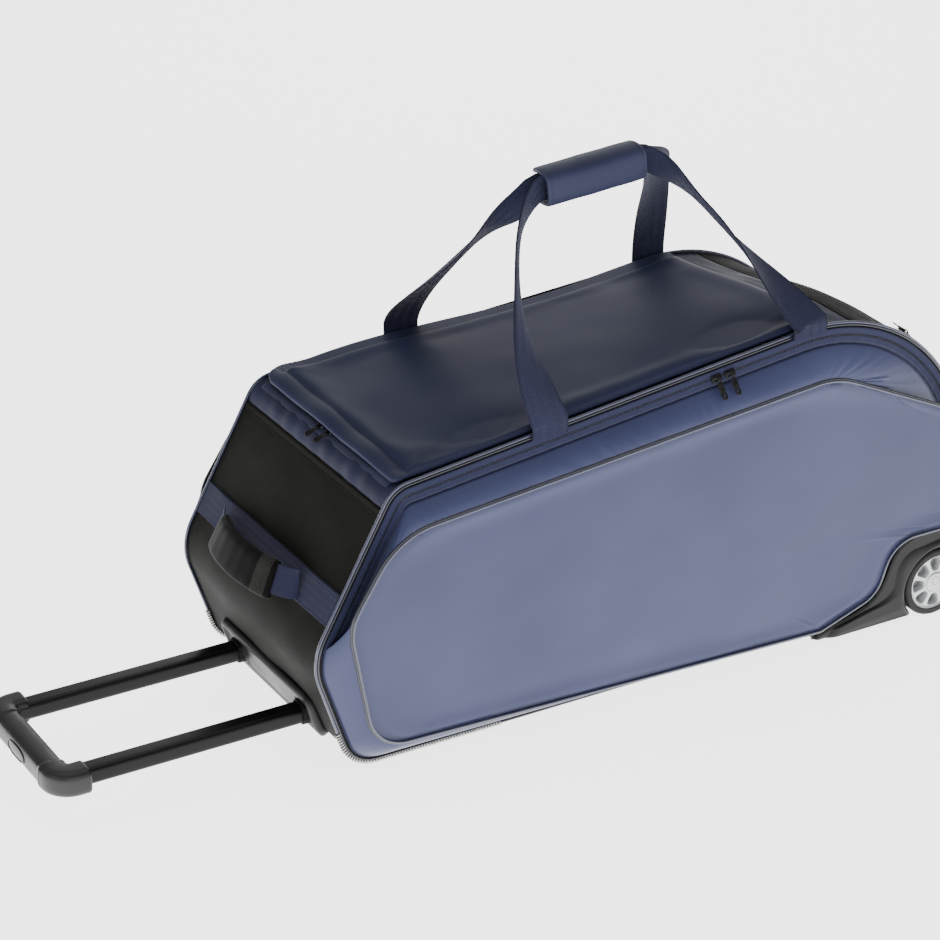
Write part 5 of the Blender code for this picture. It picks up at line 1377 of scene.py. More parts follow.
# Border seam of the lid: a stitch row in the groove along the padded field's front edge.
row = int(np.argmin(np.abs(toFront[:, 0] - lid["border"] + 0.0022)))
stitchPath = lidGrid[row, 3:-8] + np.array([0, 0, 0.0002])
makePiece("lid_front_stitches", stitchRow(stitchPath, (-0.5, 0, 0.86)), "stitchThread", "lid_flap", weld=1e-7)

# Second layer under the lid's lip: the zip's upper tape, and the lower tape with teeth on the header.
lidZip = {"half": 0.148, "pitch": 0.0024}


# Zip tape: a strip of the profile from s0 to s1, lifted by a height plus its own bow.
def tapeStrip(name, s0, s1, half, lift, bow, body, rows=10, columns=120):
    s = np.linspace(s0, s1, rows)
    y = np.linspace(-half, half, columns)
    grid = profileSheet(s, y, lambda s, y: lift + bow(s, y))
    sShare, yAll = np.meshgrid(np.linspace(0, 1, rows), y, indexing="ij")
    # Painted shade along both long edges of the tape.
    creaseShades = bell(sShare, 1, 0.12) * 0.8 + bell(sShare, 0, 0.12) * 0.5
    part = gridPart(grid.transpose(1, 0, 2), along=y + half, across=s - s0)
    piece = makePiece(name, part, "zipTapeCloth", facing=(-0.3, 0, 1), attributes={"creaseShade": creaseShades.T})
    thickened(piece, 0.0009)
    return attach(piece, body)


upper = tapeStrip(
    "lid_upper_tape", lidFrontS - 0.0068, lidFrontS + 0.01, 0.15, 0.0016,
    lambda s, y: lid["lift"] * 0.42 * ease(y, -0.14, 0.06) + 0.0007 * np.sin(y * 70), "lid_flap",
)
lower = tapeStrip(
    "lid_lower_tape", lidFrontS - 0.019, lidFrontS - 0.007, 0.149, 0.0022,
    lambda s,
    y: 0.0012 * np.sin(np.clip((s - lidFrontS + 0.019) / 0.012, 0, 1) * math.pi) + 0.0004 * np.sin(y * 90),
    "shell",
)
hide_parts("lid_zip_tape")
count = int(2 * lidZip["half"] / lidZip["pitch"])
at = np.linspace(-lidZip["half"], lidZip["half"], count)
x, z = onProfile(np.full(count, lidFrontS - 0.0068), 0.003)
nx, nz = profileNormal(lidFrontS - 0.0068)
outward, forward = np.array([nx, 0, nz]), np.array([nz, 0, -nx])
axes = np.broadcast_to(np.stack([forward, np.cross(outward, forward), outward]), (count, 3, 3))
makePiece(
    "lid_zip_teeth", scattered(stitchShape(0.003, 0.0006), np.stack([x, at, z], 1), axes), "toothNylon",
    "shell", weld=1e-7, smooth=60,
)
print("lid made")

# Carry straps and their wrap.

strap = {
    "width": 0.0455, "thickness": 0.0024, "footX": (0.229, 0.575), "y": 0.1691, "wrapX": 0.317,
    "wrapLength": 0.131,
    "wrapZ": 0.563, "slope": 0.075, "pairGap": 0.0045, "drop": 0.004,
    "rise": 0.016, "endGap": 0.004, "cup": 0.0035, "gather": 0.34, "footProfileZ": (0.3455, 0.386),
}


# Bezier curve through a and d, drawn towards b and c.
def cubicPath(a, b, c, d, t):
    t = t[:, None]
    return a * (1 - t) ** 3 + b * 3 * t * (1 - t) ** 2 + c * 3 * t * t * (1 - t) + d * t**3


# Every leg: how its two inner bend points lie from its foot and from the wrap, and which way it lies across
# halfway.
# side and end: bend above the foot, bend beside the wrap, across direction halfway, where halfway is
legShapes = {
    ("near", 0): ((-0.032, 0.012, 0.08), (-0.066, -0.014, -0.036), (0.4, 0.66, -0.63), 0.62),
    ("far", 0): ((0.000, -0.012, 0.045), (-0.046, 0.02, -0.058), (0.845, 0.526, 0.1), 0.55),
    ("near", 1): ((-0.032, 0.034, 0.044), (0.048, -0.012, -0.014), (0.415, 0.826, -0.367), 0.6),
    ("far", 1): ((0.004, 0.0, 0.09), (0.042, 0.006, -0.022), (-0.7, 0.1, -0.7), 0.55),
}


# One leg: a short rise at the foot, then a Bezier curve to the wrap; the direction across eases between three
# keys.
def strapLeg(sideName, rear):
    side = sides[sideName]
    aboveFoot, besideWrap, halfway, when = legShapes[sideName, int(rear)]
    rootX = strap["footX"][int(rear)]
    rootZ = onProfile(stationAt((rootX, strap["footProfileZ"][int(rear)])), 0)[1]
    wrapEnd = strap["wrapX"] + (strap["wrapLength"] + strap["endGap"] if rear else -strap["endGap"])
    climb = strap["slope"] * strap["wrapLength"] if rear else 0
    top = np.array([wrapEnd, side * strap["pairGap"], strap["wrapZ"] + climb])
    foot = np.array([rootX, side * strap["y"], rootZ - strap["drop"]])
    rise = foot + np.array([0, 0, strap["rise"]])
    t = np.linspace(0, 1, 80)
    leg = cubicPath(rise, rise + np.array(aboveFoot), top + np.array(besideWrap), top, t)
    start = foot + (rise - foot) * np.linspace(0, 1, 8)[:-1, None]
    leg = np.vstack([start, leg])
    t = np.concatenate([np.zeros(7), t])
    first, second = ease(t, 0.0, when), ease(t, when, 1.0)
    keys = np.array([(np.sign(halfway[0]), 0, 0), halfway, (0, 0, -1.0)])
    across = keys[0] * (1 - first)[:, None] + keys[1] * (
        first * (1 - second)
    )[:, None] + keys[2] * second[:, None]
    return leg, across, t


# Ribbon: rounded thin edges, bowed by cup * (1 - share^2).
def ribbonSection(width, thickness, cup):
    share = np.linspace(-1, 1, 13)
    bow = cup * (1 - share**2)
    edge = thickness / 2 * roundEdge((1 - np.abs(share)) * width / 2 + 0.0003, 0.0012)
    upper = np.stack([share * width / 2, bow + edge], 1)
    lower = np.stack([share[::-1] * width / 2, (bow - edge)[::-1]], 1)
    return np.concatenate([upper, lower])


for name, side in sides.items():
    front, frontAcross, tf = strapLeg(name, False)
    rear, rearAcross, tr = strapLeg(name, True)
    path = np.vstack([front, rear[::-1]])
    across = np.vstack([frontAcross, rearAcross[::-1]])
    bend = np.concatenate([tf, tr[::-1]])
    cups = strap["cup"] * np.sin(np.clip(bend, 0, 1) * math.pi) * side
    section = np.stack([ribbonSection(strap["width"], strap["thickness"], c) for c in cups])
    gathered = 1 - strap["gather"] * ease(bend, 0.6, 0.95)
    part = swept(path, across, section, scale=np.stack([gathered, np.ones_like(gathered)], 1))
    edge = np.abs(np.linspace(-1, 1, 13))
    # Painted shade along both edges of the strap.
    creaseShadeRow = np.concatenate([bell(edge, 1, 0.06), bell(edge, 1, 0.06)]) * 0.5
    creaseShades = np.concatenate([np.tile(creaseShadeRow, len(path)), np.zeros(len(part["points"]) - 26 * len(path))])
    piece = makePiece(
        name + "_strap_webbing", part, "navyWebbing", name + "_strap", weld=1e-6, smooth=50,
        attributes={"creaseShade": creaseShades},
    )
    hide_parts(name + "_carry_strap")

# Wrap: a folded pad in a slightly uneven six-sided section, open along the far side, lined in black.
wrap = {"wall": 0.0042}
hexagon = np.array(
    [
        (0.0164, 0.0175), (0.004, 0.0196), (-0.013, 0.0165), (-0.0168, 0.006), (-0.016, -0.0192),
        (-0.005, -0.0222), (0.015, -0.0215),
    ]
)


# Polyline rounded by repeated corner cutting.
def rounded(points, times):
    for _ in range(times):
        a, b = points[:-1], points[1:]
        middle = np.stack([a * 0.75 + b * 0.25, a * 0.25 + b * 0.75], 1).reshape(-1, 2)
        points = np.vstack([points[:1], middle, points[-1:]])
    return points


outerLine = rounded(hexagon, 2)
tangent = headings(outerLine)
inwardNormal = np.stack([tangent[:, 1], -tangent[:, 0]], 1)
if (inwardNormal * -outerLine).sum() < 0:
    inwardNormal = -inwardNormal
innerLine = outerLine + inwardNormal * wrap["wall"]
t = np.linspace(0, 1, 60)
length = strap["wrapLength"]
core = np.stack([strap["wrapX"] + length * t, 0 * t, strap["wrapZ"] + strap["slope"] * length * t], 1)
ahead = headings(core)
sidewise = np.array([0.0, 1.0, 0.0])
upward = np.cross(ahead, sidewise) * -1
if upward[0, 2] < 0:
    upward = -upward
swellAlong = 1 + 0.018 * np.sin(t * math.pi) + 0.006 * np.sin(t * 17)
endRound = roundEdge(np.minimum(t, 1 - t) * length, 0.003)


# The wrap's section line carried along its core, a little swollen in the middle.
def wrapGrid(line, grow):
    wide = line[None, :, 0] * (swellAlong * grow)[:, None]
    high = line[None, :, 1] * (swellAlong * grow)[:, None]
    return core[:, None] + wide[..., None] * sidewise + high[..., None] * upward[:, None]


outerGrid = wrapGrid(outerLine, 1 - 0.035 * (1 - endRound))
innerGrid = wrapGrid(innerLine, np.ones_like(t))
count = outerGrid.shape[0] * outerGrid.shape[1]
toEnd = np.minimum(t, 1 - t)[:, None] * length + np.zeros((1, len(outerLine)))
# The inner face is darkened with the crease shade colour to show its black lining; painted shade at the stitch lines
# near each end, and paler ends (wear and painted highlight).
creaseShades = np.concatenate([(0.6 * bell(toEnd, 0.0055, 0.0009)).ravel(), np.full(count, 0.85)])
total = shellOf(outerGrid, innerGrid)
creaseShades = np.append(creaseShades, np.zeros(len(total["points"]) - len(creaseShades)))
wearAndHighlight = np.append((0.25 * bell(toEnd, 0.0015, 0.0015)).ravel(), np.zeros(len(total["points"]) - count))
piece = makePiece(
    "wrap_pad", total, "wrapCloth", "near_strap", weld=1e-6, smooth=60,
    attributes={"creaseShade": creaseShades, "wearAndHighlight": wearAndHighlight}
)
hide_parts("strap_wrap")
for k, at in enumerate((2, len(t) - 3)):
    ringPath = outerGrid[at, 4:-4]
    centre = core[at]
    outward = ringPath - centre
    makePiece(f"wrap_stitches_{k}", stitchRow(ringPath, outward), "stitchThread", "near_strap", weld=1e-7)
print("straps and wrap made")

# Trolley: bezel, tubes, grip and button.

bezel = {
    "half": 0.113, "bottom": 0.004, "top": 0.066, "proud": 0.0095, "lip": 0.0075, "dish": 0.0035,
    "corner": 0.016
}
bezelS0 = stationAt((atHeight(frontBase, frontNose, bezel["bottom"]), bezel["bottom"])) - profileLength
bezelS1 = stationAt((atHeight(frontBase, frontNose, bezel["top"]), bezel["top"])) - profileLength
if bezelS1 < bezelS0:
    bezelS1 += profileLength


# Distance along the profile at which the bezel reaches height z.
def tubeStation(z):
    s = np.linspace(bezelS0 - 0.01, bezelS1 + 0.01, 2000)
    return float(np.interp(z, onProfile(s)[1], s))


tubeGrow = 0.0002
gapS = [tubeStation(tubeAt["z"] + k * (tubeAt["height"] / 2 + tubeGrow)) for k in (-1, 1)]
gapY = [tubeAt["y"] + k * (tubeAt["width"] / 2 + tubeGrow) for k in (-1, 1)]
s = np.unique(np.concatenate([np.linspace(bezelS0, bezelS1, 46), gapS]))
y = np.unique(np.concatenate([np.linspace(-bezel["half"], bezel["half"], 120), gapY, [-k for k in gapY]]))
sAll, yAll = np.meshgrid(s, y, indexing="ij")
fromEnds = np.minimum(sAll - s[0], s[-1] - sAll)
pulled = (1 - roundEdge(fromEnds, bezel["corner"])) * bezel["corner"]
inner = np.abs(yAll) - (bezel["half"] - 2.2 * bezel["corner"])
yAll = yAll - np.sign(yAll) * pulled * ease(inner, 0, 2.2 * bezel["corner"])
edge = np.minimum(fromEnds, bezel["half"] - pulled - np.abs(yAll))
lift = bezel["proud"] * roundEdge(edge, bezel["lip"]) - bezel["dish"] * ease(
    edge, bezel["lip"] * 0.9, bezel["lip"] * 1.9
)
collar = np.maximum(
    np.abs(np.abs(yAll) - tubeAt["y"]) - tubeAt["width"] / 2,
    np.abs(sAll - tubeStation(tubeAt["z"])) - tubeAt["height"] / 2,
)
lift = lift + 0.0022 * (1 - ease(collar, 0.0015, 0.0045))
x, z = onProfile(sAll, lift)
part = withoutFaces(
    gridPart(np.stack([x, yAll, z], -1), along=s - s[0], across=y + 0.2),
    lambda middle: (np.abs(np.abs(middle[:, 1]) - tubeAt["y"]) < tubeAt["width"] / 2 + tubeGrow - 1e-4)
    & (np.abs(middle[:, 2] - tubeAt["z"]) < tubeAt["height"] / 2 + tubeGrow + 0.0012),
)
# A paler band on the bezel's rounded lip: wear and painted highlight.
wearAndHighlight = 0.35 * bell(edge, bezel["lip"] * 0.5, 0.0016)
piece = makePiece("bezel_lip", part, "mouldedBlack", facing=(-1, 0, 0), attributes={"wearAndHighlight": wearAndHighlight})
thickened(piece, 0.003, "shell")
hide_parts("handle_bezel")

for name, side in sides.items():
    low, high = (np.array(corner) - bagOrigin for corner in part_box(name + "_handle_tube"))
    x = np.linspace(low[0], high[0], tubeAt["rings"])
    middle = (low + high) / 2
    path = np.stack([x, np.full(len(x), middle[1]), np.full(len(x), middle[2])], 1)
    section = softSection(high[1] - low[1], high[2] - low[2], 4.6, tubeAt["around"])
    part = swept(path, (0, 1, 0), section)
    # painted highlight along its rounded edges
    corners = 0.4 * bell(np.arange(tubeAt["around"]) % (tubeAt["around"] // 4), 3.5, 0.7)
    wearAndHighlight = np.tile(corners, tubeAt["rings"])
    piece = makePiece(
        name + "_tube_skin", part, "tubeBlack", "pull_handle", weld=1e-6, smooth=50,
        attributes={"wearAndHighlight": np.append(wearAndHighlight, np.zeros(len(part["points"]) - len(wearAndHighlight)))},
    )
    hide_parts(name + "_handle_tube")

grip = {
    "arm": 0.086, "armWidth": 0.034, "height": 0.031, "depth": 0.034, "corner": 0.0175, "waist": 0.9,
    "sleeve": 0.062,
}
gripLow, gripHigh = (np.array(corner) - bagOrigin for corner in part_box("pull_grip"))
faceX, backX, gripZ = gripLow[0], gripHigh[0], (gripLow[2] + gripHigh[2]) / 2
centreX = faceX + grip["depth"] / 2
armEnd = np.linspace(backX, centreX + grip["corner"], 16)
arc = np.linspace(0, math.pi / 2, 22)
corner = np.stack(
    [centreX + grip["corner"] * (1 - np.sin(arc)), grip["arm"] - grip["corner"] * (1 - np.cos(arc))], 1
)
bar = np.linspace(grip["arm"] - grip["corner"], 0, 60)
half = np.vstack(
    [np.stack([armEnd, np.full(16, grip["arm"])], 1), corner, np.stack([np.full(60, centreX), bar], 1)]
)
keep = np.concatenate([[True], np.linalg.norm(np.diff(half, axis=0), axis=1) > 1e-5])
half = half[keep]
flat = np.vstack([half, half[-2::-1] * np.array([1, -1])])
path = np.stack([flat[:, 0], flat[:, 1], np.full(len(flat), gripZ)], 1)
along = np.abs(path[:, 1])
straight = (path[:, 0] < centreX + 1e-4) & (along < grip["arm"])
slim = ease(grip["sleeve"] - along, 0, 0.004) * straight
sleeveEnd = roundEdge(backX - path[:, 0], 0.0035)
growth = (1 - (1 - grip["waist"]) * slim) * (0.86 + 0.14 * sleeveEnd)
growth = growth + 0.035 * bell(along, grip["sleeve"] + 0.003, 0.0022) * straight
high = (1 - 0.07 * slim) * (0.86 + 0.14 * sleeveEnd)
section = softSection(grip["armWidth"], grip["height"], 3.6, 48)
# Painted shade at the sleeve's ledge.
creaseShade = np.repeat(bell(along, grip["sleeve"] - 0.0022, 0.0012) * straight, 48)
part = swept(path, np.cross(headings(path), (0, 0, 1.0)), section, scale=np.stack([growth, high], 1))
creaseShades = np.append(creaseShade, np.zeros(len(part["points"]) - creaseShade.size))
# Painted highlight on the grip's outer corner.
shoulder = 0.25 * bell(path[:, 0], centreX + 0.004, 0.012) * (along > 0.07)
gripCornerHighlight = np.append(np.repeat(shoulder, 48), np.zeros(len(part["points"]) - creaseShade.size))
piece = makePiece(
    "grip_bar", part, "gripPlastic", "pull_handle", weld=1e-6, smooth=60,
    attributes={"creaseShade": creaseShades, "wearAndHighlight": gripCornerHighlight},
)
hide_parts("pull_grip")

# Oval button: a shallow dome in a raised rim.
button = {"length": 0.04, "height": 0.013, "rim": 0.0011}
angle = np.arange(64) * 2 * math.pi / 64
oval = softSection(button["length"], button["height"], 2.6, 64)
faceAt = faceX + (1 - grip["waist"]) * grip["armWidth"] / 2
shares = np.linspace(1, 0.06, 12)
dome = 0.0012 * (1 - shares**2)
dish = np.stack(
    [
        np.repeat((faceAt - 0.0004 - dome)[:, None], 64, 1), shares[:, None] * oval[None, :, 0],
        gripZ + shares[:, None] * oval[None, :, 1],
    ], -1,
)
skirt = np.stack([np.full(64, faceAt + 0.004), oval[:, 0], gripZ + oval[:, 1]], 1)
grid = np.concatenate([skirt[None], dish])
part = joined(
    [
        gridPart(grid, closeColumns=True), fanPart(grid[-1][::-1], grid[-1].mean(0)),
        fanPart(grid[0], grid[0].mean(0))
    ]
)
piece = makePiece("button_dome", part, "buttonPlastic", "release", weld=1e-6, smooth=50)
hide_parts("release_button")
rimPath = np.stack([np.full(64, faceAt - 0.0001), oval[:, 0] * 1.07, gripZ + oval[:, 1] * 1.17], 1)
pipe("button_rim", rimPath, button["rim"], 10, "gripPlastic", "pull_handle", closed=True, wide=(1, 0, 0))
print("trolley made")

# Wheel housings: a flared cover from the outline to the well, with a bead along its edge.

flare = {
    "faceY": 0.1792, "rootY": 0.17, "lipRadius": 0.05, "bulge": 0.0034, "bead": 0.0014, "lipBead": 0.0015,
    "steps": 30, "around": 240
}
closedOutline = np.vstack([housingOutline[:, :2], housingOutline[:1, :2]])
runs = np.concatenate([[0], np.cumsum(np.hypot(*np.diff(closedOutline, axis=0).T))])


# Point on the housing's outline at a distance along it.
def outlineRun(distance):
    return np.stack([np.interp(distance, runs, closedOutline[:, k]) for k in range(2)], 1)


bottomZ = -housing["drop"] + 0.0006
fine = outlineRun(np.linspace(0, runs[-1], 6000)[:-1])
isBottom = fine[:, 1] < -housing["drop"] + 0.0002
top = fine[~isBottom]
if top[0, 0] > top[-1, 0]:
    top = top[::-1]
jump = int(np.argmax(np.linalg.norm(np.diff(np.vstack([top, top[:1]]), axis=0), axis=1)))
top = np.roll(top, -(jump + 1), axis=0)
if top[0, 0] > top[-1, 0]:
    top = top[::-1]
topRun = np.concatenate([[0], np.cumsum(np.hypot(*np.diff(top, axis=0).T))])
share = np.linspace(0, 1, flare["around"])
outerLine = np.stack([np.interp(share * topRun[-1], topRun, top[:, k]) for k in range(2)], 1)
sinkAngle = math.asin((bottomZ - wheelZ) / flare["lipRadius"])
toWheel = np.arctan2(outerLine[:, 1] - wheelZ, -(outerLine[:, 0] - wheelX))  # 0 looks to the handle, pi/2 up
toWheel = np.where(toWheel < -math.pi / 2, toWheel + 2 * math.pi, toWheel)
innerAngle = np.maximum.accumulate(np.clip(toWheel, sinkAngle, math.pi - sinkAngle))
innerAngle = 0.65 * innerAngle + 0.35 * np.interp(
    share, [0, 0.42, 1], [sinkAngle, sinkAngle + 0.25, math.pi - sinkAngle]
)
innerAngle[0], innerAngle[-1] = sinkAngle, math.pi - sinkAngle
innerLine = np.stack(
    [wheelX - flare["lipRadius"] * np.cos(innerAngle), wheelZ + flare["lipRadius"] * np.sin(innerAngle)], 1
)
v = np.linspace(0, 1, flare["steps"])
spots = outerLine[:, None] * (1 - v[None, :, None]) + innerLine[:, None] * v[None, :, None]
toOutline = np.linalg.norm(spots - outerLine[:, None], axis=2)
toLip = np.linalg.norm(spots - innerLine[:, None], axis=2)
faceY = flare["rootY"] + (flare["faceY"] - flare["rootY"]) * roundEdge(toOutline, 0.01)
faceY = faceY + flare["bulge"] * ease(toOutline, 0.01, 0.032) - 0.0022 * bell(toOutline, 0.0135, 0.006)
faceY = faceY - 0.003 * (1 - roundEdge(toLip, 0.004))
# Painted highlight in two bands that run along the arch, at the well's edge and on the flare; painted shade at the
# root beside the bead.
wearAndHighlight = 0.4 * bell(toLip, 0.003, 0.0018) + 0.35 * bell(toOutline, 0.0075, 0.0022)
creaseShades = np.clip(bell(toOutline, 0.0022, 0.0013), 0, 1)
for name, side in sides.items():
    grid = np.stack([spots[..., 0], side * faceY, spots[..., 1]], -1)
    part = gridPart(grid)
    piece = makePiece(
        name + "_housing_flare", part, "mouldedBlack", facing=(0, side, 0),
        attributes={"creaseShade": creaseShades, "wearAndHighlight": wearAndHighlight},
    )
    thickened(piece, 0.0016, "shell")
    path = np.stack(
        [outerLine[:, 0], np.full(len(outerLine), side * (flare["rootY"] + 0.0016)), outerLine[:, 1]], 1
    )
    pipe(name + "_housing_bead", path, flare["bead"], 10, "darkPiping", "shell")
    lipPath = np.stack(
        [innerLine[:, 0], np.full(len(innerLine), side * (flare["faceY"] - 0.0004)), innerLine[:, 1]], 1
    )
    pipe(name + "_well_lip", lipPath[2:-2], flare["lipBead"], 8, "mouldedBlack", "shell")
print("wheel housings made")

# Wheels: tyre with a ribbed tread, and a cast hub with eight windows.

wheel = {
    "radius": wheelRadius, "rim": 0.0362, "width": 0.03, "windowAt": 0.0238, "windowHalf": 0.008,
    "windows": 8, "recess": 0.0088
}
shoulder = np.linspace(0, 1, 14)
halfWidth = wheel["width"] / 2
sideUp = np.stack([np.full(6, halfWidth), np.linspace(wheel["rim"] - 0.0004, wheel["radius"] - 0.0045, 6)], 1)
cornerArc = np.stack(
    [
        halfWidth - 0.0045 * (1 - np.cos(shoulder * math.pi / 2)),
        wheel["radius"] - 0.0045 + 0.0045 * np.sin(shoulder * math.pi / 2),
    ], 1,
)
tread = np.linspace(halfWidth - 0.0045, 0, 40)[1:]
grooves = sum(bell(tread, at, 0.0007) for at in (0.0, 0.0052, 0.0086)) * 0.0011
treadLine = np.stack([tread, wheel["radius"] - grooves], 1)
oneSide = np.vstack([sideUp, cornerArc[1:], treadLine])
profileTyre = np.vstack([oneSide, oneSide[-2::-1] * np.array([-1, 1])])
inward = np.stack([np.linspace(-halfWidth, halfWidth, 6)[1:-1], np.full(4, wheel["rim"] - 0.0004)], 1)
profileTyre = np.vstack([profileTyre, inward])
spin = np.arange(120) * 2 * math.pi / 120


# Profile of y and radius turned about the axle: centre + (r cos a, y, r sin a).
def turned(profile, angles, centre):
    y = profile[None, :, 0] + 0 * angles[:, None]
    r = profile[None, :, 1] + 0 * angles[:, None]
    return np.stack(
        [centre[0] + r * np.cos(angles)[:, None], centre[1] + y, centre[2] + r * np.sin(angles)[:, None]], -1
    )


windowStep = 2 * math.pi / wheel["windows"]
hubAngles = np.arange(320) * 2 * math.pi / 320
hubRadii = np.concatenate(
    [np.linspace(0.0362, 0.0335, 9), np.linspace(0.033, 0.0125, 46), np.linspace(0.012, 0.0006, 22)]
)
hubR, hubA = np.meshgrid(hubRadii, hubAngles, indexing="ij")
local = (hubA + windowStep / 2) % windowStep - windowStep / 2
radial = (hubR - wheel["windowAt"]) / wheel["windowHalf"]
sidewise = local * hubR / (0.0068 + 0.32 * (hubR - wheel["windowAt"]))
window = (np.abs(radial) ** 4 + np.abs(sidewise) ** 4) ** 0.25
hubDepth = wheel["recess"] * (1 - ease(window, 0.86, 1.04))
hubFace = -0.0012 * bell(hubR, 0.0338, 0.001) + 0.0016 * ease(
    0.013 - hubR, 0, 0.0015
) - 0.0014 * ease(hubR, 0.014, 0.03)
hubFace = hubFace + 0.0008 * ease(hubR, 0.034, 0.0358) - 0.0006 * bell(hubR, 0.0085, 0.0008)
relief = 0.0007 * ease(0.9 - np.abs(local * hubR) / 0.0016, 0, 0.5) * (hubR < 0.0072) * (hubR > 0.003)
# Painted shade in the window recesses and in the grooves round the boss and the rim.
hubRecessShade = np.clip(
    (1 - ease(window, 0.8, 1.0)) * 0.92 + 0.7 * bell(hubR, 0.0133, 0.0006) + 0.5 * bell(hubR, 0.0361, 0.0005),
    0, 1
)
for name, side in sides.items():
    centre = np.array([wheelX, side * wheelY, wheelZ])
    piece = makePiece(
        name + "_tyre_tread", gridPart(turned(profileTyre, spin, centre), closeRows=True, closeColumns=True),
        "tyreRubber", name + "_wheel", weld=1e-6, smooth=60,
    )
    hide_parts(name + "_tyre")
    y = halfWidth - 0.0012 + hubFace + relief - hubDepth
    face = np.stack([wheelX + hubR * np.cos(hubA), side * (wheelY + y), wheelZ + hubR * np.sin(hubA)], -1)
    backRadii = np.array([0.0362, 0.0362, 0.0362, 0.006])
    backY = np.array([halfWidth - 0.004, 0.0, -halfWidth + 0.001, -halfWidth + 0.0016])
    back = np.stack(
        [
            wheelX + backRadii[:, None] * np.cos(hubAngles),
            np.repeat(side * (wheelY + backY)[:, None], 320, 1),
            wheelZ + backRadii[:, None] * np.sin(hubAngles),
        ], -1,
    )
    grid = np.concatenate([back[::-1], face])
    part = joined([
        gridPart(grid, closeColumns=True), fanPart(grid[-1][::-1], grid[-1].mean(0)),
        fanPart(grid[0], grid[0].mean(0)),
    ])
    creaseShades = np.concatenate(
        [
            np.zeros(back.shape[0] * 320), hubRecessShade.ravel(),
            np.zeros(len(part["points"]) - grid.shape[0] * 320)
        ]
    )
    piece = makePiece(
        name + "_hub_face", part, "hubSilver", name + "_wheel", weld=1e-7, smooth=50,
        attributes={"creaseShade": creaseShades}
    )
    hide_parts(name + "_hub")
print("wheels made")

# Zip sliders, each with its own pull.

zipPart = {
    "length": 0.0135, "width": 0.0105, "height": 0.005, "tab": 0.008, "cord": 0.0015, "pull": 0.024,
    "endPull": 0.022
}


# Slider: a cushion drawn in at its waist, with a bridge over it.
def sliderShape(centre, along, out):
    side = np.cross(out, along)
    t = np.linspace(-1, 1, 16)
    path = centre + along * (t * zipPart["length"] / 2)[:, None]
    waist = (0.72 + 0.28 * np.abs(t) ** 1.5) * (0.55 + 0.45 * roundEdge(1 - np.abs(t), 0.25))
    body = swept(
        path, side, softSection(zipPart["width"], zipPart["height"] * 0.62, 4, 20),
        scale=np.stack([waist, 0.6 + 0.4 * roundEdge(1 - np.abs(t), 0.3)], 1)
    )
    t = np.linspace(-1, 1, 18)
    arch = centre + along * (t * zipPart["length"] * 0.36)[:, None] + out * (
        zipPart["height"] * (0.2 + 0.55 * np.sqrt(1 - t**2))
    )[:, None]
    bridge = swept(arch, side, softSection(0.0028, 0.0012, 4, 12))
    return joined([body, bridge])


# Pull: a ring through the bridge, a flat tab with rounded ends, and a cord loop drawn to a point.
def pullShape(start, hang, out, length):
    side = np.cross(out, hang)
    turn = np.arange(20) * 2 * math.pi / 20
    ring = start + hang * (0.0022 * (1 - np.cos(turn)))[:, None] + side * (0.0019 * np.sin(turn))[:, None]
    parts = [swept(ring, out, circleSection(0.0007, 8), closedPath=True)]
    t = np.linspace(0, 1, 26)
    tab = start + hang * (0.003 + (length * 0.52) * t)[:, None]
    wide = roundEdge(np.minimum(t + 0.02, 1.02 - t) * length * 0.52, 0.0026) * (0.72 + 0.28 * t)
    parts.append(
        swept(
            tab, side, softSection(zipPart["tab"], 0.0015, 4, 16), scale=np.stack([wide, 0.7 + 0.3 * wide], 1)
        )
    )
    t = np.linspace(-1, 1, 30)
    spread = np.sin((1 - np.abs(t)) * math.pi) * 0.0021 + 0.0006 * (1 - np.abs(t))
    loop = start + hang * (
        length * 0.5 + (length * 0.47) * (1 - np.abs(t) ** 1.6)
    )[:, None] + side * (np.sign(t) * spread)[:, None]
    cord = swept(loop, out, circleSection(zipPart["cord"], 8))
    return joined(parts), cord


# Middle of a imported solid, in the bag's own measures.
def boxMiddle(name):
    low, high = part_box(name)
    return (np.array(low) + np.array(high)) / 2 - bagOrigin


# Slider, pull tab and cord loop at the places of their solids.
def zipPieces(node, body, along, out, hang, length):
    along, out, hang = (np.array(v, float) / np.linalg.norm(v) for v in (along, out, hang))
    sliderNode, pullNode = node + "_slider", node + "_pull"
    centre = boxMiddle(sliderNode)
    piece = makePiece(
        sliderNode + "_shell", sliderShape(centre, along, out), "zipBlackMetal", body, weld=1e-7, smooth=50
    )
    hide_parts(sliderNode)
    pullMiddle = boxMiddle(pullNode)
    start = pullMiddle - hang * (length / 2)
    tab, cord = pullShape(start, hang, out, length)
    piece = makePiece(pullNode + "_tab", tab, "zipBlackMetal", body + "_pull", weld=1e-7, smooth=50)
    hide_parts(pullNode)
    makePiece(pullNode + "_cord", cord, "blackThread", body + "_pull", weld=1e-7, smooth=70)


for name, side in sides.items():
    for letter in "ab":
        node = f"{name}_pocket_{letter}"
        middle = boxMiddle(node + "_slider")
        s0 = stationAt((middle[0], middle[2]))
        nx, nz = profileNormal(s0)
        along = np.array([nz, 0, -nx])
        down = np.array([-nx, 0, -nz])
        out = np.array([0, side, 0.0])
        lean = math.radians(32)
        hang = down * math.cos(lean) + out * math.sin(lean)
        face = out * math.cos(lean) - down * math.sin(lean)
        zipPieces(node, f"{name}_zip_{letter}", along, face, hang, zipPart["pull"])
nx, nz = profileNormal(lidFrontS - 0.008)
outward, backDown = np.array([nx, 0, nz]), np.array([-nz, 0, nx])
for letter in "ab":
    zipPieces("lid_" + letter, "lid_zip_" + letter, (0, 1, 0), outward, backDown, zipPart["pull"])
middle = boxMiddle("end_pocket_slider")
endS = stationAt((middle[0], middle[2]))
nx, nz = profileNormal(endS)
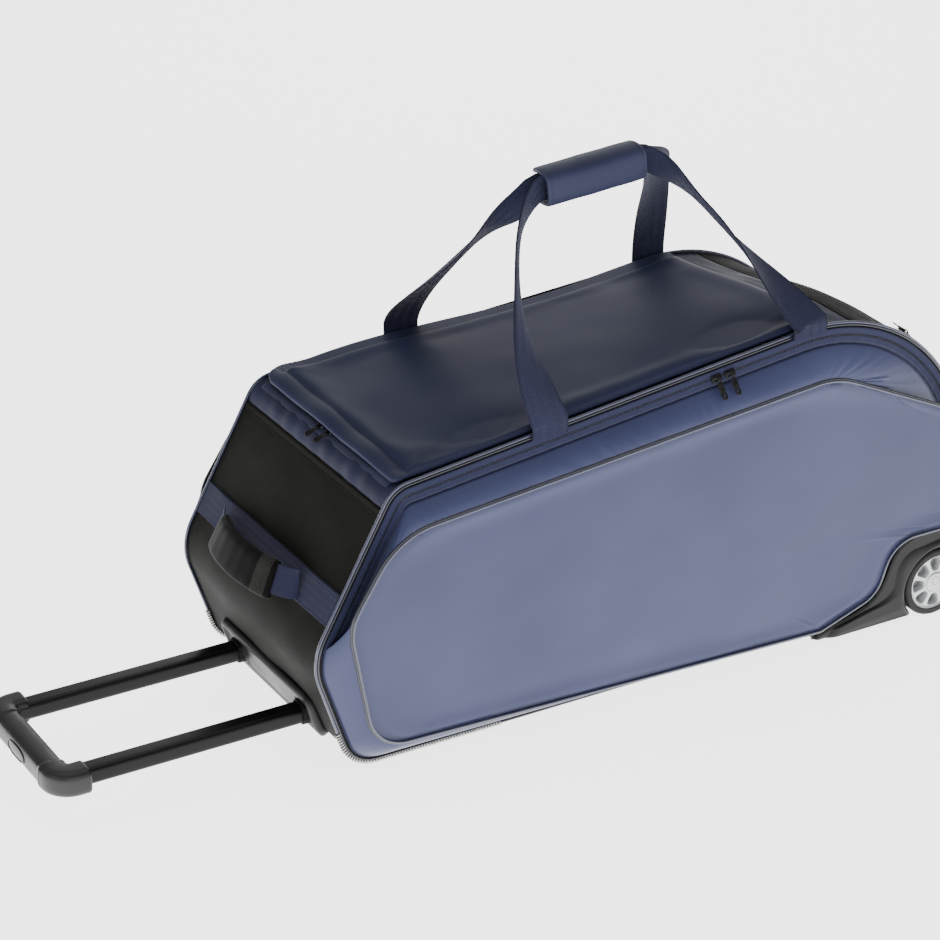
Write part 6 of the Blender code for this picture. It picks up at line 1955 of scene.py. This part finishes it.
endOut, endAlong = np.array([nx, 0, nz]), np.array([nz, 0, -nx])
zipPieces("end_pocket", "end_zip", endAlong, endOut, endAlong, zipPart["endPull"])

# End pocket's coil zip down the wheel end.
endZip = {"start": 0.08, "length": 0.15, "y": -0.1457, "half": 0.0058, "lift": 0.003}
s = np.linspace(rearSeamS + endZip["start"], rearSeamS + endZip["start"] + endZip["length"], 60)
y = np.linspace(endZip["y"] - endZip["half"], endZip["y"] + endZip["half"], 15)
fromMiddle = lambda y: np.abs(y - endZip["y"])
grid = profileSheet(
    s, y, lambda s, y: endZip["lift"] + 0.0008 * roundEdge(endZip["half"] - fromMiddle(y), 0.002)
)
yAll = np.meshgrid(s, y, indexing="ij")[1]
part = gridPart(grid, along=s - s[0], across=y - y[0])
# Painted shade along the middle and both edges of the tape.
piece = makePiece(
    "end_zip_tape", part, "blackWoven", facing=(1, 0, 0),
    attributes={
        "creaseShade": np.clip(
            bell(fromMiddle(yAll), 0, 0.0008) + bell(fromMiddle(yAll), endZip["half"], 0.0008), 0, 1
        )
    },
)
thickened(piece, 0.0022, "shell")
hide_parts("end_pocket_zip_tape")
x, z = onProfile(s, endZip["lift"] + 0.0012)
line = np.stack([x, np.full(len(s), endZip["y"]), z], 1)
coil = spiral(line, s, 0.0014, 0.0022, 0.00055, 6)
piece = makePiece("end_zip_coil", coil, "zipSteel", "shell", weld=1e-7, smooth=80)
print("zip sliders and end zip made")

# Camera, floor and light.

studio = {
    "cameraAt": (-1.65231, -2.80617, 1.85067),
    "looksAlong": (0.45027, 0.77642, -0.44095),
    "lens": 120.2,
    "floorColour": (0.86, 0.865, 0.87),
    "floorGlow": 3.0,
    "worldStrength": 0.55,
}
camera = bpy.data.objects.new("camera", bpy.data.cameras.new("camera"))
camera.data.lens = studio["lens"]
camera.data.sensor_width = 36.0
camera.location = studio["cameraAt"]
camera.rotation_mode = "QUATERNION"
camera.rotation_quaternion = Vector(studio["looksAlong"]).to_track_quat("-Z", "Y")
bpy.context.scene.collection.objects.link(camera)
bpy.context.scene.camera = camera

world = bpy.data.worlds.new("softSky")
bpy.context.scene.world = world
world.use_nodes = True
world.node_tree.nodes["Background"].inputs["Color"].default_value = (1.0, 1.0, 1.0, 1.0)
world.node_tree.nodes["Background"].inputs["Strength"].default_value = studio["worldStrength"]

floorMaterial = bpy.data.materials.new("paleFloor")
floorMaterial.use_nodes = True
floorShader = floorMaterial.node_tree.nodes["Principled BSDF"]
floorShader.inputs["Base Color"].default_value = (*studio["floorColour"], 1.0)
floorShader.inputs["Roughness"].default_value = 0.9
floorShader.inputs["Emission Color"].default_value = (1.0, 1.0, 1.0, 1.0)
floorShader.inputs["Emission Strength"].default_value = studio["floorGlow"]
floorMesh = bpy.data.meshes.new("floor")
reach = 14.0
floorMesh.from_pydata(
    [(-reach, -reach, 0), (reach, -reach, 0), (reach, reach, 0), (-reach, reach, 0)], [], [(0, 1, 2, 3)]
)
floorMesh.materials.append(floorMaterial)
floor = bpy.data.objects.new("floor", floorMesh)
bpy.context.scene.collection.objects.link(floor)

# name: place, aimed at, size across and up, watts
lamps = {
    "frontSoftbox": ((-0.6, -3.2, 1.3), (0.0, 0.0, 0.25), (3.2, 1.8), 34.0),
    "topSoftbox": ((0.2, 0.6, 3.2), (0.0, 0.0, 0.3), (2.6, 1.6), 14.0),
    "endSoftbox": ((-3.2, -0.6, 1.4), (0.0, 0.0, 0.2), (1.8, 1.6), 8.0),
    "rimSoftbox": ((1.6, 2.6, 1.6), (0.0, 0.0, 0.3), (2.0, 1.2), 16.0),
}
for name, (place, target, size, watts) in lamps.items():
    lamp = bpy.data.lights.new(name, "AREA")
    lamp.shape = "RECTANGLE"
    lamp.size, lamp.size_y = size
    lamp.energy = watts
    holder = bpy.data.objects.new(name, lamp)
    holder.location = place
    holder.rotation_mode = "QUATERNION"
    holder.rotation_quaternion = (Vector(target) - Vector(place)).to_track_quat("-Z", "Y")
    bpy.context.scene.collection.objects.link(holder)
print("camera, floor and light set")
